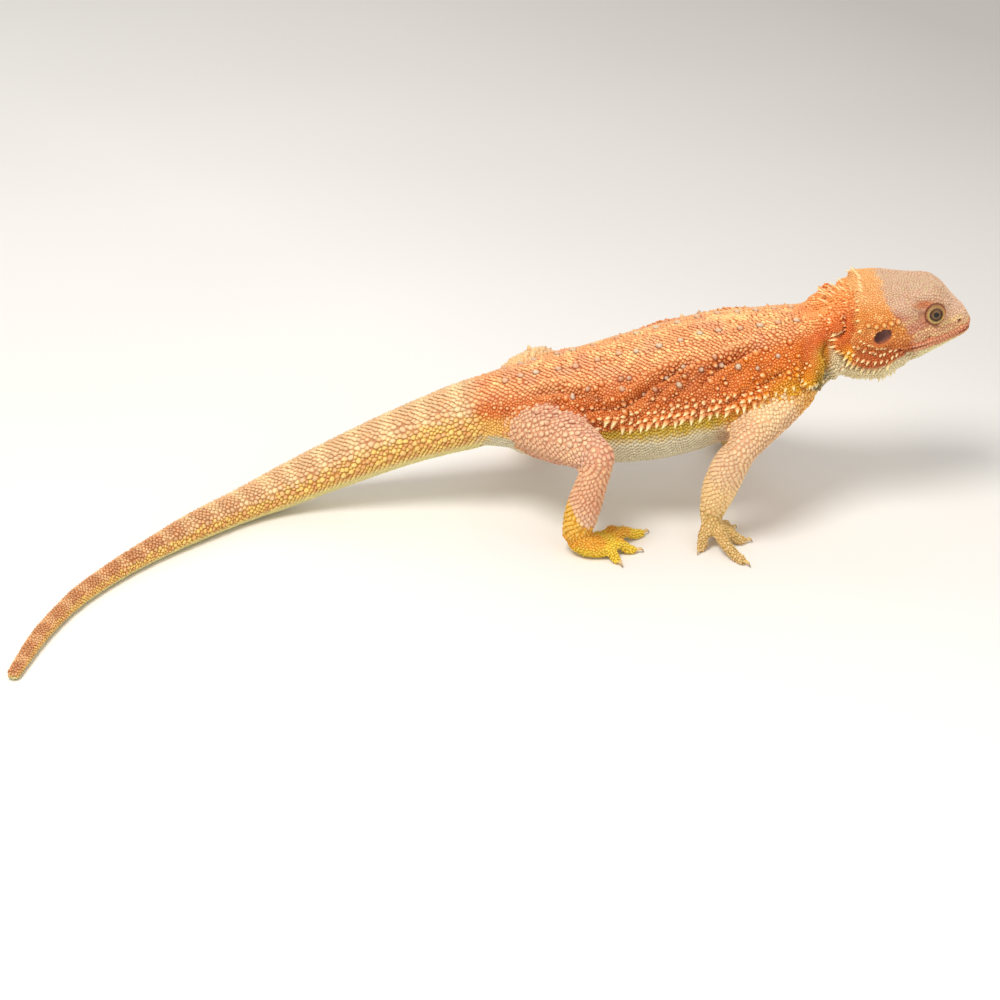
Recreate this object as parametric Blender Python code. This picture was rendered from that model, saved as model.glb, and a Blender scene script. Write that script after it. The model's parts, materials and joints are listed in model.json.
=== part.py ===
"""Bearded dragon, a still, life-size model standing on its four feet with its tail laid on the floor.

The animal faces +X, +Z is up and -Y is its right side. Lengths below are millimetres, measured from under
the vent: the body is one smooth loft from tail root to snout, the tail and the limbs are lofts of their
own, and thin cuts part them where a person would name the parts.
"""

import math

import bmesh
import bpy
from mathutils import Matrix, Vector

MM = 0.001  # metres in a millimetre
CUT = 0.3  # width of the thin cuts that part the body
SKIN_CLEARANCE = 0.35  # how far a limb stays off the body it grows from
FLOOR = 0.0
PRESSED = 0.4  # how deep a toe or the tail is pressed flat where it rests on the floor

BODY_SIDES, TAIL_SIDES, LIMB_SIDES, SOLE_SIDES, TOE_SIDES, CLAW_SIDES = 20, 12, 10, 10, 6, 5
TRUNK_STEP, HEAD_STEP = 4.3, 2.8  # distance between the body's rings
FRINGE_FROM, FRINGE_TO, FRINGE_SPINE = 37.0, 89.0, 2.4  # the row of spines along each flank

# x, height of the widest line, half width, height above that line, depth below it, and how square
# the section is above and below
BODY_STATIONS = {
    "tail root": (-6.0, 44.5, 17.0, 14.2, 14.6, 2.0, 2.0),
    "vent": (2.0, 45.4, 18.4, 16.2, 15.8, 2.0, 2.1),
    "hips": (16.0, 46.2, 22.0, 19.4, 19.0, 2.0, 2.2),
    "groin": (33.0, 48.2, 26.5, 21.7, 23.6, 2.0, 2.3),
    "belly": (49.0, 51.0, 30.0, 23.6, 25.5, 2.0, 2.4),
    "ribs": (66.0, 54.8, 32.5, 24.4, 26.9, 2.0, 2.4),
    "broadest rib": (80.0, 58.0, 33.0, 25.4, 26.0, 2.0, 2.4),
    "chest": (98.0, 62.2, 31.0, 23.8, 22.9, 2.0, 2.4),
    "shoulders": (114.0, 67.4, 27.0, 20.5, 20.8, 2.1, 2.3),
    "neck root": (122.0, 70.6, 24.0, 18.2, 18.3, 2.1, 2.2),
    "neck": (130.0, 75.0, 20.8, 17.6, 15.0, 2.1, 2.1),
    "nape": (137.0, 79.4, 20.0, 19.0, 17.2, 2.2, 2.0),
    "occiput": (143.0, 82.4, 21.0, 20.6, 20.6, 2.7, 2.0),
    "beard": (150.0, 83.5, 21.6, 20.1, 22.0, 2.8, 2.0),
    "ear": (157.0, 84.2, 20.2, 19.2, 21.3, 3.0, 2.0),
    "cheek": (164.0, 85.0, 17.8, 18.0, 17.9, 3.3, 2.1),
    "eye": (173.0, 85.6, 14.0, 16.5, 13.3, 3.4, 2.2),
    "snout bridge": (180.0, 85.5, 10.8, 12.0, 9.3, 2.6, 2.3),
    "nostril": (186.0, 84.7, 7.6, 6.6, 5.2, 2.2, 2.2),
    "lip": (189.4, 84.4, 4.8, 3.4, 3.2, 2.0, 2.0),
    "snout tip": (190.6, 84.3, 2.6, 1.8, 2.2, 2.0, 2.0),
}

# Forms raised on the head: x, reach along x, angle from the crown, spread in degrees, height
HEAD_FORMS = {
    "brow": (171.5, 5.0, 44, 12, 1.2),
    "temple": (160.0, 6.0, 52, 12, 0.6),
    "crown dip": (166.0, 6.0, 0, 20, -0.5),
    "eye hollow": (176.5, 4.0, 74, 14, -0.8),
    "canthus": (182.5, 4.0, 46, 12, 0.6),
    "lore": (183.0, 3.5, 84, 13, -0.7),
    "jowl": (151.0, 6.0, 106, 20, 1.4),
    "neck hollow": (134.5, 4.0, 100, 30, -1.4),
}

# Rows of spines: from x, to x, from angle, to angle, length, how far they lean back
SPINES = {
    "nape": (130.5, 136.5, 5, 50, 2.6, 0.5),
    "back of the head": (142.0, 146.0, 20, 104, 2.6, 0.7),
    "side of the neck": (131.0, 137.5, 84, 122, 4.0, 0.6),
    "beard": (147.5, 161.0, 116, 168, 2.6, 0.6),
}

# Path of the tail and its size: x, y, z of the centre, half width, half height
TAIL_STATIONS = {
    "root": (-6.3, 0.0, 44.3, 17.0, 14.4),
    "base": (-25.0, 0.0, 37.8, 14.8, 12.7),
    "thick": (-41.5, -0.1, 31.4, 13.0, 11.6),
    "slope": (-58.2, -0.5, 24.1, 11.5, 10.8),
    "falling": (-75.0, -1.4, 16.6, 10.0, 9.8),
    "touch down": (-91.6, -5.2, 10.2, 8.7, 8.8),
    "lying": (-107.5, -14.6, 6.9, 7.2, 7.2),
    "bend": (-122.5, -28.6, 6.1, 6.4, 6.5),
    "sweep": (-137.0, -43.8, 4.9, 5.2, 5.3),
    "thin": (-150.6, -60.8, 4.1, 4.4, 4.5),
    "thinner": (-163.5, -81.4, 3.6, 4.0, 4.0),
    "slender": (-169.6, -96.0, 3.2, 3.6, 3.6),
    "end": (-174.6, -112.0, 3.0, 3.4, 3.4),
    "blunt tip": (-179.4, -136.5, 2.3, 2.7, 2.7),
}
TAIL_STEP = 9.5
TAIL_CUTS = {"tail_base": 52.0, "tail_upper": 104.0, "tail_middle": 158.0, "tail_lower": 212.0}

BODY_CUTS = (("pelvis", 27.0), ("abdomen", 74.0), ("chest", 127.4), ("neck", 139.4))
MOUTH_BACK, MOUTH_FRONT = (158.5, 79.4), (190.6, 83.4)  # x and z of the mouth line
JAW_BACK = 162.5  # the lower jaw ends here and the beard begins

EYE_CENTRE, EYE_RADIUS = (172.6, 9.9, 92.4), 4.4
EAR_CENTRE, EAR_SIZE, EAR_RISE = (152.0, 20.6, 87.0), (3.9, 2.0, 2.1), 24  # a pit over the drum

# Colours of the finishes, as linear red, green and blue
ORANGE, PALE_ORANGE, BEARD = (0.68, 0.19, 0.06), (0.74, 0.33, 0.13), (0.66, 0.54, 0.35)
PINK, YELLOW, HORN, EYE = (0.76, 0.50, 0.33), (0.78, 0.52, 0.10), (0.40, 0.28, 0.16), (0.30, 0.15, 0.03)

DOME = ((0.42, 0.86), (0.78, 0.44))  # how far out, and how small, the rings of a round end are

# ---------------------------------------------------------------- shapes


def read(stations, at):
    """The values of smooth curves through the stations, whose first value is the position."""
    rows = list(stations.values())
    after = next((i for i, row in enumerate(rows) if row[0] > at), len(rows) - 1)
    after = max(1, after)
    before = after - 1
    low, high = rows[before], rows[after]
    share = min(1.0, max(0.0, (at - low[0]) / (high[0] - low[0])))

    def slope(i, k):
        left, right = rows[max(0, i - 1)], rows[min(len(rows) - 1, i + 1)]
        return (right[k] - left[k]) / (right[0] - left[0])

    found = []
    for k in range(1, len(low)):
        reach = high[0] - low[0]
        a, b = share * share * (3 - 2 * share), share * (1 - share)
        bend = (1 - share) * slope(before, k) - share * slope(after, k)
        found.append(low[k] + (high[k] - low[k]) * a + reach * b * bend)
    return found


def section(wide, up, down, top_power, bottom_power, sides):
    """(angle from the top, sideways, height) of the points round one closed cross section."""
    points = []
    for k in range(sides):
        angle = 2 * math.pi * k / sides
        across, above = math.sin(angle), math.cos(angle)
        power = top_power if above >= 0 else bottom_power
        height = up if above >= 0 else down
        y = math.copysign(abs(across) ** (2 / power), across) * wide
        z = math.copysign(abs(above) ** (2 / power), above) * height
        points.append((math.degrees(math.acos(max(-1.0, min(1.0, above)))), y, z))
    return points


def loft(name, rings, spine_at=None):
    """One closed mesh through rings of equal length, each a list of points in millimetres.

    spine_at(ring, side) is the way a spine stands out of that face, or None for a plain face.
    """
    mesh = bpy.data.meshes.new(name)
    shape = bmesh.new()
    made = [[shape.verts.new(Vector(p) * MM) for p in ring] for ring in rings]
    sides = len(made[0])
    for i, (one, two) in enumerate(zip(made, made[1:])):
        for k in range(sides):
            face = shape.faces.new((one[k], one[(k + 1) % sides], two[(k + 1) % sides], two[k]))
            out = spine_at(i, k) if spine_at else None
            if out:
                tip = bmesh.ops.poke(shape, faces=[face])["verts"][0]
                tip.co += out * MM
    shape.faces.new(list(reversed(made[0])))
    shape.faces.new(made[-1])
    bmesh.ops.recalc_face_normals(shape, faces=shape.faces)
    shape.to_mesh(mesh)
    shape.free()
    made_object = bpy.data.objects.new(name, mesh)
    bpy.context.scene.collection.objects.link(made_object)
    return made_object


def tube(name, path, sides, up=Vector((0, 0, 1)), round_start=True, round_end=True, start_facing=None):
    """A closed tube along a path of (centre, half width, half height); a round end closes in as a dome."""
    centres = [Vector(p) for p, _, _ in path]
    rows = []
    for i, (centre, wide, high) in enumerate(path):
        before, after = centres[max(0, i - 1)], centres[min(len(path) - 1, i + 1)]
        along = (after - before).normalized() if i or not start_facing else Vector(start_facing)
        rows.append((Vector(centre), along, wide, high))
    if round_start:
        centre, along, wide, high = rows[0]
        rows[:0] = [
            (centre - along * high * out, along, wide * size, high * size) for out, size in reversed(DOME)
        ]
    if round_end:
        centre, along, wide, high = rows[-1]
        rows += [(centre + along * high * out, along, wide * size, high * size) for out, size in DOME]
    rings = []
    for centre, along, wide, high in rows:
        across = along.cross(up).normalized()
        above = across.cross(along)
        rings.append(
            [centre + across * y + above * z for _, y, z in section(wide, high, high, 2.0, 2.0, sides)]
        )
    return loft(name, rings)


def smooth_path(points, steps):
    """A curve through (centre, half width, half height) rows, read at a number of even steps."""
    far = [0.0]
    for one, two in zip(points, points[1:]):
        far.append(far[-1] + (Vector(two[0]) - Vector(one[0])).length)
    rows = {i: (far[i], *p[0], p[1], p[2]) for i, p in enumerate(points)}
    found = []
    for i in range(steps + 1):
        x, y, z, wide, high = read(rows, far[-1] * i / steps)
        found.append(((x, y, z), wide, high))
    return found


# ---------------------------------------------------------------- cutting and joining


def combine(base, others, operation):
    """The base object with the others joined to it or cut from it; the others are used up."""
    for other in others:
        modifier = base.modifiers.new(operation.lower(), "BOOLEAN")
        modifier.operation = operation
        modifier.object = other
        modifier.solver = "EXACT"
    bpy.context.view_layer.update()
    evaluated = base.evaluated_get(bpy.context.evaluated_depsgraph_get())
    mesh = bpy.data.meshes.new_from_object(evaluated)
    base.modifiers.clear()
    base.data = mesh
    for other in others:
        bpy.data.objects.remove(other)
    return base


def keep(source, name, point, normal):
    """A copy of the source with only what lies behind the plane, its cut face closed."""
    copy = bpy.data.objects.new(name, source.data.copy())
    bpy.context.scene.collection.objects.link(copy)
    shape = bmesh.new()
    shape.from_mesh(copy.data)
    everything = shape.verts[:] + shape.edges[:] + shape.faces[:]
    bmesh.ops.bisect_plane(
        shape,
        geom=everything,
        dist=1e-7,
        plane_co=Vector(point) * MM,
        plane_no=normal,
        clear_outer=True,
    )
    rim = [edge for edge in shape.edges if edge.is_boundary]
    bmesh.ops.holes_fill(shape, edges=rim)
    bmesh.ops.recalc_face_normals(shape, faces=shape.faces)
    shape.to_mesh(copy.data)
    shape.free()
    return copy


def part(source, point, normal, behind, ahead):
    """Two objects in place of the source, parted by a thin cut across the plane."""
    normal = Vector(normal).normalized()
    half = normal * CUT / 2
    first = keep(source, behind, Vector(point) - half, normal)
    second = keep(source, ahead, Vector(point) + half, -normal)
    bpy.data.objects.remove(source)
    return first, second


def flatten(source):
    """The source with all that reaches below the floor pressed flat on it."""
    name = source.name
    source.name = "raw"
    resting = keep(source, name, (0, 0, FLOOR), (0, 0, -1))
    bpy.data.objects.remove(source)
    return resting


# ---------------------------------------------------------------- head, trunk and tail


def head_form(x, angle):
    """How far the head's surface stands out from its plain cross section there."""
    return sum(
        height * math.exp(-(((x - at) / reach) ** 2) - ((angle - turned) / spread) ** 2)
        for at, reach, turned, spread, height in HEAD_FORMS.values()
    )


def body_ring(x, spine, grown):
    """The body's points at x, grown outwards, and with a spine on each flank if spine is true."""
    line, wide, up, down, top_power, bottom_power = read(BODY_STATIONS, x)
    ring = []
    for angle, y, z in section(wide + grown, up + grown, down + grown, top_power, bottom_power, BODY_SIDES):
        away = Vector((0, y, z)).normalized() * head_form(x, angle)
        if spine and abs(angle - 90) < 1:
            away += Vector((0, math.copysign(FRINGE_SPINE, y), -FRINGE_SPINE * 0.4))
        ring.append(Vector((x, y, line + z)) + away)
    return ring


def body_stops():
    """The x of every ring: even steps along the trunk, finer ones along the head, closing on the snout."""
    first, last = BODY_STATIONS["tail root"][0], BODY_STATIONS["snout tip"][0]
    neck = BODY_STATIONS["neck"][0]
    trunk_rings = round((neck - first) / TRUNK_STEP)
    stops = [first + (neck - first) * i / trunk_rings for i in range(trunk_rings)]
    head_rings = round((last - neck) / HEAD_STEP)
    for i in range(head_rings):
        stops.append(neck + (last - neck) * math.sin(math.pi / 2 * i / head_rings) ** 0.95)
    return [*stops, BODY_STATIONS["lip"][0] + 0.3, last]


def body_spine(rings, stops, i, k):
    """The way the spine on that face of the body stands out, or None where there is no spine."""
    angle = 360 * (k + 0.5) / BODY_SIDES
    angle = min(angle, 360 - angle)
    x = (stops[i] + stops[i + 1]) / 2
    for low, high, start, end, length, lean in SPINES.values():
        if low < x < high and start < angle < end and (i + k) % 2 == 0:
            one, two, three = rings[i][k], rings[i][(k + 1) % BODY_SIDES], rings[i + 1][k]
            out = (three - one).cross(two - one).normalized()
            return (out + Vector((-lean, 0, 0))).normalized() * length
    return None


def make_body(name, grown=0.0):
    """The whole body from tail root to snout as one solid."""
    stops = body_stops()
    rings = []
    for i, x in enumerate(stops):
        spine = FRINGE_FROM < x < FRINGE_TO and i % 2 == 0
        rings.append(body_ring(x, spine, grown))
    if grown:
        return loft(name, rings)
    return loft(name, rings, lambda i, k: body_spine(rings, stops, i, k))


def ball(name, centre, radii, turn=0.0, rings=7, sides=10):
    """A closed ellipsoid, turned about the Y axis."""
    shape = bmesh.new()
    bmesh.ops.create_uvsphere(shape, u_segments=sides, v_segments=rings, radius=1.0)
    matrix = (
        Matrix.Translation(Vector(centre) * MM)
        @ Matrix.Rotation(math.radians(-turn), 4, "Y")
        @ Matrix.Diagonal((*[r * MM for r in radii], 1))
    )
    bmesh.ops.transform(shape, matrix=matrix, verts=shape.verts)
    mesh = bpy.data.meshes.new(name)
    shape.to_mesh(mesh)
    shape.free()
    made = bpy.data.objects.new(name, mesh)
    bpy.context.scene.collection.objects.link(made)
    return made


def sided(point, side):
    """The same point on the animal's right for side -1, or on its left for side 1."""
    return (point[0], point[1] * side, point[2])


def make_head_and_trunk():
    """The body parted into pelvis, abdomen, chest, neck, head, lower jaw and beard, with both eyes."""
    body = make_body("body")
    sockets = [
        ball(f"socket{side}", sided(EYE_CENTRE, side), [EYE_RADIUS + CUT] * 3)
        for side in (-1, 1)
    ]
    pits = [ball(f"pit{side}", sided(EAR_CENTRE, side), EAR_SIZE, EAR_RISE) for side in (-1, 1)]
    combine(body, sockets + pits, "DIFFERENCE")
    pieces = []
    for name, x in BODY_CUTS:
        piece, body = part(body, (x, 0, 0), (1, 0, 0), name, "rest")
        pieces.append(piece)
    back, front = Vector((MOUTH_BACK[0], 0, MOUTH_BACK[1])), Vector((MOUTH_FRONT[0], 0, MOUTH_FRONT[1]))
    below = Vector((0, 1, 0)).cross(front - back)
    if below.z > 0:
        below.negate()
    head, lower = part(body, back, below, "head", "lower")
    beard, jaw = part(lower, (JAW_BACK, 0, MOUTH_BACK[1]), (1, 0, 0.35), "beard", "lower_jaw")
    eyes = [
        ball(f"eye_{name}", sided(EYE_CENTRE, side), [EYE_RADIUS] * 3)
        for side, name in ((-1, "right"), (1, "left"))
    ]
    return [*pieces, head, jaw, beard], eyes


def make_tail():
    """The tail parted into five lengths, pressed flat where it lies on the floor."""
    stations = [((x, y, z), wide, high) for x, y, z, wide, high in TAIL_STATIONS.values()]
    length = sum(
        (Vector(two[0]) - Vector(one[0])).length for one, two in zip(stations, stations[1:])
    )
    path = smooth_path(stations, round(length / TAIL_STEP))
    tail = tube("tail", path, TAIL_SIDES, round_start=False, start_facing=(-1, 0, 0))
    tail = flatten(tail)
    pieces = []
    far, done = 0.0, 0
    names = list(TAIL_CUTS)
    for one, two in zip(path, path[1:]):
        here, there = Vector(one[0]), Vector(two[0])
        step = (there - here).length
        if done < len(names) and far + step > TAIL_CUTS[names[done]]:
            at = here.lerp(there, (TAIL_CUTS[names[done]] - far) / step)
            piece, tail = part(tail, at, there - here, names[done], "tail rest")
            pieces.append(piece)
            done += 1
        far += step
    tail.name = "tail_tip"
    return [*pieces, tail]


# ---------------------------------------------------------------- limbs

# Each limb: its joints from the body outwards, how far the middle of its first length is pushed
# sideways, the path and size of the sole, and the toes as (start, knuckle, end). Half widths are
# for the start, two middles and end of each length.
HIND_GIRTH = ((10.8, 11.0, 10.1, 6.5), (6.1, 6.6, 7.3, 5.8))
FORE_GIRTH = ((10.6, 10.2, 8.8, 7.5), (7.2, 7.7, 7.1, 5.1))
HIND_SOLE = ((4.9, 5.2), (6.2, 4.9), (6.4, 3.9))
FORE_SOLE = ((5.1, 4.7), (4.9, 4.1), (4.4, 3.7))
LIMBS = {
    "hind_right": {
        "joints": ((9, -11, 44.5), (39.7, -43, 44.6), (30.4, -41, 9.5)),
        "bulge": (0, 0, 1.2),
        "girth": HIND_GIRTH,
        "sole": ((31.6, -42.2, 6.9), (36.4, -43, 4.7), (42.4, -41.2, 3.6)),
        "sole_size": HIND_SOLE,
        "toes": (
            ((37, -38.2, 4), (39.6, -34.4, 4), (41.4, -31.2, 2)),
            ((41, -38, 4), (45.6, -30.6, 4.8), (48.6, -25.8, 2)),
            ((43, -39, 4), (51, -32.4, 5), (57.0, -28, 2)),
            ((43, -42, 4), (48.6, -42, 4.9), (53.0, -41.6, 2)),
            ((36.4, -44.6, 4), (44.6, -45.6, 4.4), (46.6, -49.4, 2)),
        ),
    },
    "hind_left": {
        "joints": ((9, 11, 44.5), (19.4, 48, 44.2), (12.6, 52.6, 10)),
        "bulge": (-3.6, 0, 1.0),
        "girth": HIND_GIRTH,
        "sole": ((13.6, 53.4, 6.9), (18.4, 55, 4.7), (24.6, 56, 3.6)),
        "sole_size": HIND_SOLE,
        "toes": (
            ((21.6, 52, 4), (26, 48.8, 4.2), (29, 46.4, 2)),
            ((25, 53, 4), (32, 50, 4.8), (37, 47.6, 2)),
            ((26, 55, 4), (36, 54.6, 5), (42.6, 53.2, 2)),
            ((25, 57.4, 4), (35, 60.6, 5), (42.6, 62, 2)),
            ((20, 58.6, 4), (25, 63.6, 4.4), (28, 67.2, 2)),
        ),
    },
    "fore_right": {
        "joints": ((118, -12, 60.4), (95.6, -37.5, 46), (86, -31.4, 14)),
        "bulge": (0, 0, 0.4),
        "girth": FORE_GIRTH,
        "sole": ((85.8, -31.8, 12.6), (86, -33, 9.8), (86.7, -34.2, 7.5)),
        "sole_size": FORE_SOLE,
        "toes": (
            ((86.2, -32, 7.6), (87.2, -27.6, 5.2), (88.2, -24.6, 2)),
            ((87.6, -32.6, 7.8), (92, -27.6, 5.4), (94.6, -24.4, 2)),
            ((88.2, -34.4, 8), (94, -34.8, 5.4), (98.2, -33.8, 2)),
            ((87.6, -35.4, 8.4), (90.6, -43, 5.6), (96.8, -50, 2)),
            ((84.4, -34.2, 10), (82.5, -37.4, 5.8), (81.6, -39.4, 2)),
        ),
    },
    "fore_left": {
        "joints": ((118, 12, 60.4), (101, 40, 46), (95.4, 49.6, 15.4)),
        "bulge": (0, 0, 0.4),
        "girth": FORE_GIRTH,
        "sole": ((95.6, 50.4, 13.6), (96.4, 52, 10.2), (97.2, 53.4, 7.5)),
        "sole_size": FORE_SOLE,
        "toes": (
            ((97.4, 51.6, 7.6), (99.2, 47.4, 5.2), (100.4, 44.4, 2)),
            ((98, 52.6, 7.8), (103, 50.2, 5.4), (106, 48.6, 2)),
            ((98.2, 54.2, 8), (104.4, 55.2, 5.4), (108.6, 55.2, 2)),
            ((97.2, 55.4, 8.4), (102.4, 60.4, 5.6), (105.6, 63.4, 2)),
            ((95.8, 54.8, 10), (94.6, 60.4, 5.8), (93.4, 64.2, 2)),
        ),
    },
}
LENGTH_NAMES = {"hind": ("thigh", "shank", "foot"), "fore": ("upper_arm", "forearm", "hand")}
TOE_START, TOE_MIDDLE, TOE_LAST, TOE_END = 2.8, 2.45, 2.3, 2.05
CLAW_LENGTH, CLAW_START, CLAW_END, CLAW_LIFT = 4.1, 1.35, 0.3, 0.2


def limb_length(name, start, end, girth, bulge):
    """One length of a limb, round-ended, its middle pushed sideways by the bulge."""
    a, b = Vector(start), Vector(end)
    shares = (0.0, 0.36, 0.7, 1.0)
    rows = []
    for share, size in zip(shares, girth):
        centre = a.lerp(b, share) + Vector(bulge) * math.sin(math.pi * share)
        rows.append((tuple(centre), size, size))
    up = Vector((0, 0, 1)) if abs((b - a).normalized().z) < 0.8 else Vector((1, 0, 0))
    return tube(name, smooth_path(rows, 5), LIMB_SIDES, up)


def toe_path(start, knuckle, end):
    """A toe from the sole over its knuckle to its end, which lies level and pressed on the floor."""
    start, knuckle, end = Vector(start), Vector(knuckle), Vector(end)
    end.z = TOE_END - PRESSED * 0.6
    last = knuckle.lerp(end, 0.66)
    last.z = end.z + 0.45
    return [
        (tuple(start), TOE_START, TOE_START),
        (tuple(knuckle), TOE_MIDDLE, TOE_MIDDLE),
        (tuple(last), TOE_LAST, TOE_LAST),
        (tuple(end), TOE_END, TOE_END),
    ]


def make_claw(name, toe):
    """A curved claw that starts a thin cut ahead of its toe and bends down to the floor."""
    before, tip = Vector(toe[-2][0]), Vector(toe[-1][0])
    along = (tip - before).normalized()
    root = tip + along * (toe[-1][2] * DOME[-1][0] + CUT)
    level = Vector((along.x, along.y, 0)).normalized()
    end = root + level * CLAW_LENGTH * 0.92
    end.z = CLAW_END + CLAW_LIFT
    middle = root.lerp(end, 0.5) + Vector((0, 0, CLAW_LENGTH * 0.17))
    rows = [
        (tuple(root), CLAW_START * 0.62, CLAW_START * 0.62),
        (tuple(root.lerp(middle, 0.35) + Vector((0, 0, 0.25))), CLAW_START * 0.8, CLAW_START * 0.9),
        (tuple(middle), CLAW_START * 0.62, CLAW_START * 0.72),
        (tuple(end), CLAW_END, CLAW_END),
    ]
    path = smooth_path(rows, 3)
    return tube(name, path, CLAW_SIDES, round_start=False, round_end=False, start_facing=along)


def make_limb(place, limb):
    """One limb in three lengths and five claws, clear of the body and flat where it meets the floor."""
    kind = place.split("_")[0]
    upper_name, lower_name, foot_name = LENGTH_NAMES[kind]
    root, knee, ankle = (Vector(p) for p in limb["joints"])
    whole = limb_length("upper", root, knee, limb["girth"][0], limb["bulge"])
    lower = limb_length("lower", knee, ankle, limb["girth"][1], (-1.2 if kind == "fore" else 0.0, 0, 0))
    sole = tube(
        "sole",
        smooth_path([(p, w, h) for p, (w, h) in zip(limb["sole"], limb["sole_size"])], 3),
        SOLE_SIDES,
        Vector((0, 0, 1)) if kind == "hind" else Vector((1, 0, 0.4)),
    )
    paths = [toe_path(*toe) for toe in limb["toes"]]
    toes = [tube(f"toe{i}", path, TOE_SIDES, round_start=False) for i, path in enumerate(paths)]
    combine(whole, [lower, sole, *toes], "UNION")
    combine(whole, [make_body("grown body", SKIN_CLEARANCE)], "DIFFERENCE")
    whole.name = "whole"
    whole = flatten(whole)
    bend = (knee - root).normalized() + (ankle - knee).normalized()
    upper, rest = part(whole, knee, bend, f"{upper_name}_{place}", "below knee")
    toward = (Vector(limb["sole"][-1]) - Vector(limb["sole"][0])).normalized()
    bend = (ankle - knee).normalized() + toward * 0.9
    above_ankle = ankle + Vector((0, 0, 2.5))
    shin, foot = part(rest, above_ankle, bend, f"{lower_name}_{place}", f"{foot_name}_{place}")
    claws = [make_claw(f"claw_{place}_{i + 1}", path) for i, path in enumerate(paths)]
    return [upper, shin, foot], claws


# ---------------------------------------------------------------- finish and placing


def material(name, colour, roughness):
    made = bpy.data.materials.new(name)
    made.use_nodes = True
    shader = made.node_tree.nodes["Principled BSDF"]
    shader.inputs["Base Color"].default_value = (*colour, 1)
    shader.inputs["Roughness"].default_value = roughness
    shader.inputs["Metallic"].default_value = 0.0
    return made


def dress(pieces, finish):
    for piece in pieces:
        piece.data.materials.clear()
        piece.data.materials.append(finish)


def settle(pieces):
    """Puts the origin at the middle of the whole's base, and each piece's own origin at its middle."""
    corners = [v.co for piece in pieces for v in piece.data.vertices]
    low = Vector([min(c[k] for c in corners) for k in range(3)])
    high = Vector([max(c[k] for c in corners) for k in range(3)])
    base = Vector(((low.x + high.x) / 2, (low.y + high.y) / 2, low.z))
    for piece in pieces:
        centre = sum((v.co for v in piece.data.vertices), Vector()) / len(piece.data.vertices)
        piece.data.transform(Matrix.Translation(-centre))
        piece.location = centre - base
        piece.data.shade_smooth()
        piece.data.set_sharp_from_angle(angle=math.radians(40))


def main():
    for old in list(bpy.data.objects):
        bpy.data.objects.remove(old)
    flesh, eyes = make_head_and_trunk()
    dress(flesh, material("orange_scales", ORANGE, 0.6))
    tail = make_tail()
    dress(tail, material("banded_tail_scales", PALE_ORANGE, 0.6))
    dress(eyes, material("eye", EYE, 0.1))
    everything = [*flesh, *eyes, *tail]
    leg_finish = material("pink_leg_scales", PINK, 0.6)
    foot_finish = material("yellow_foot_scales", YELLOW, 0.6)
    claw_finish = material("claw_horn", HORN, 0.35)
    for place, limb in LIMBS.items():
        lengths, claws = make_limb(place, limb)
        dress(lengths[:2], leg_finish)
        dress(lengths[2:], foot_finish)
        dress(claws, claw_finish)
        everything += lengths + claws
    dress([piece for piece in flesh if piece.name == "beard"], material("pale_beard_scales", BEARD, 0.6))
    settle(everything)


main()
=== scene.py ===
"""Bearded dragon, a still, life-size model: its skin, scales, spines, eyes and claws.

One skin is drawn over the solids of the body and lies under them by the depth of the scales. Scales grow
from roots that run in rows along the trunk, tail and legs and lie close together on the head and feet. Each
is cut to fit its neighbours. Lengths are millimetres from under the vent, as in the solids: +X is forward,
-Y the animal's right, +Z up.
"""

import itertools
import json
import math

import bmesh
import bpy
import numpy as np
from mathutils import Matrix, Vector
from mathutils.bvhtree import BVHTree
from mathutils.kdtree import KDTree


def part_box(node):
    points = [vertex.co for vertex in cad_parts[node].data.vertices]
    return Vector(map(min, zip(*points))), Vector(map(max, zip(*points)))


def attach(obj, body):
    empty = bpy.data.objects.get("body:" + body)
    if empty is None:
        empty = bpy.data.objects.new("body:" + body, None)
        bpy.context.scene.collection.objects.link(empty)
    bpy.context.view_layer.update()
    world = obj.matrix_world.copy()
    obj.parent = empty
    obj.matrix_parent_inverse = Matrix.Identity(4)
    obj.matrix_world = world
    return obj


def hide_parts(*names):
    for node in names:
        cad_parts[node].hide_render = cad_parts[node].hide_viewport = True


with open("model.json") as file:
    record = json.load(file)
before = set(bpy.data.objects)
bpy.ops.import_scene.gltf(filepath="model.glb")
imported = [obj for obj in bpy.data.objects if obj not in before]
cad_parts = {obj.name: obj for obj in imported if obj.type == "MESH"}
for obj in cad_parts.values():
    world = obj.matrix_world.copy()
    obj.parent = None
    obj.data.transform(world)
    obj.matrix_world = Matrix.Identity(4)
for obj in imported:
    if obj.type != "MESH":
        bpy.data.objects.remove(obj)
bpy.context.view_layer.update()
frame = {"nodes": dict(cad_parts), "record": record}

MM = 0.001
PLACES = ("fore_left", "fore_right", "hind_left", "hind_right")
HIND = PLACES[2:]
LENGTHS = {"fore": ("upper_arm", "forearm", "hand"), "hind": ("thigh", "shank", "foot")}


def parts_of(place):
    """The names of a leg's upper length, its lower length and its foot."""
    return [f"{part}_{place}" for part in LENGTHS[place[:4]]]


HEAD = ("head", "lower_jaw", "beard")
TRUNK = ("neck", "chest", "abdomen", "pelvis")
TAIL = ("tail_base", "tail_upper", "tail_middle", "tail_lower", "tail_tip")
LEGS = tuple(part for place in PLACES for part in parts_of(place)[:2])
FEET = tuple(parts_of(place)[2] for place in PLACES)
FLESH = HEAD + TRUNK + TAIL + LEGS + FEET
AREAS = {"head": HEAD, "trunk": TRUNK, "tail": TAIL, "legs": LEGS, "feet": FEET}
SLOT_OF = {row["node"]: row["material_slot"] for row in frame["record"]["subparts"]}

EYE_CENTRE, EYE_RADIUS = np.array((172.6, 9.9, 92.4)), 4.4
low, high = (np.array(corner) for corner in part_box("eye_right"))
ORIGIN = (low + high) / 2 / MM - EYE_CENTRE * (1, -1, 1)  # where the vent's foot point is in the row frame

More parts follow.
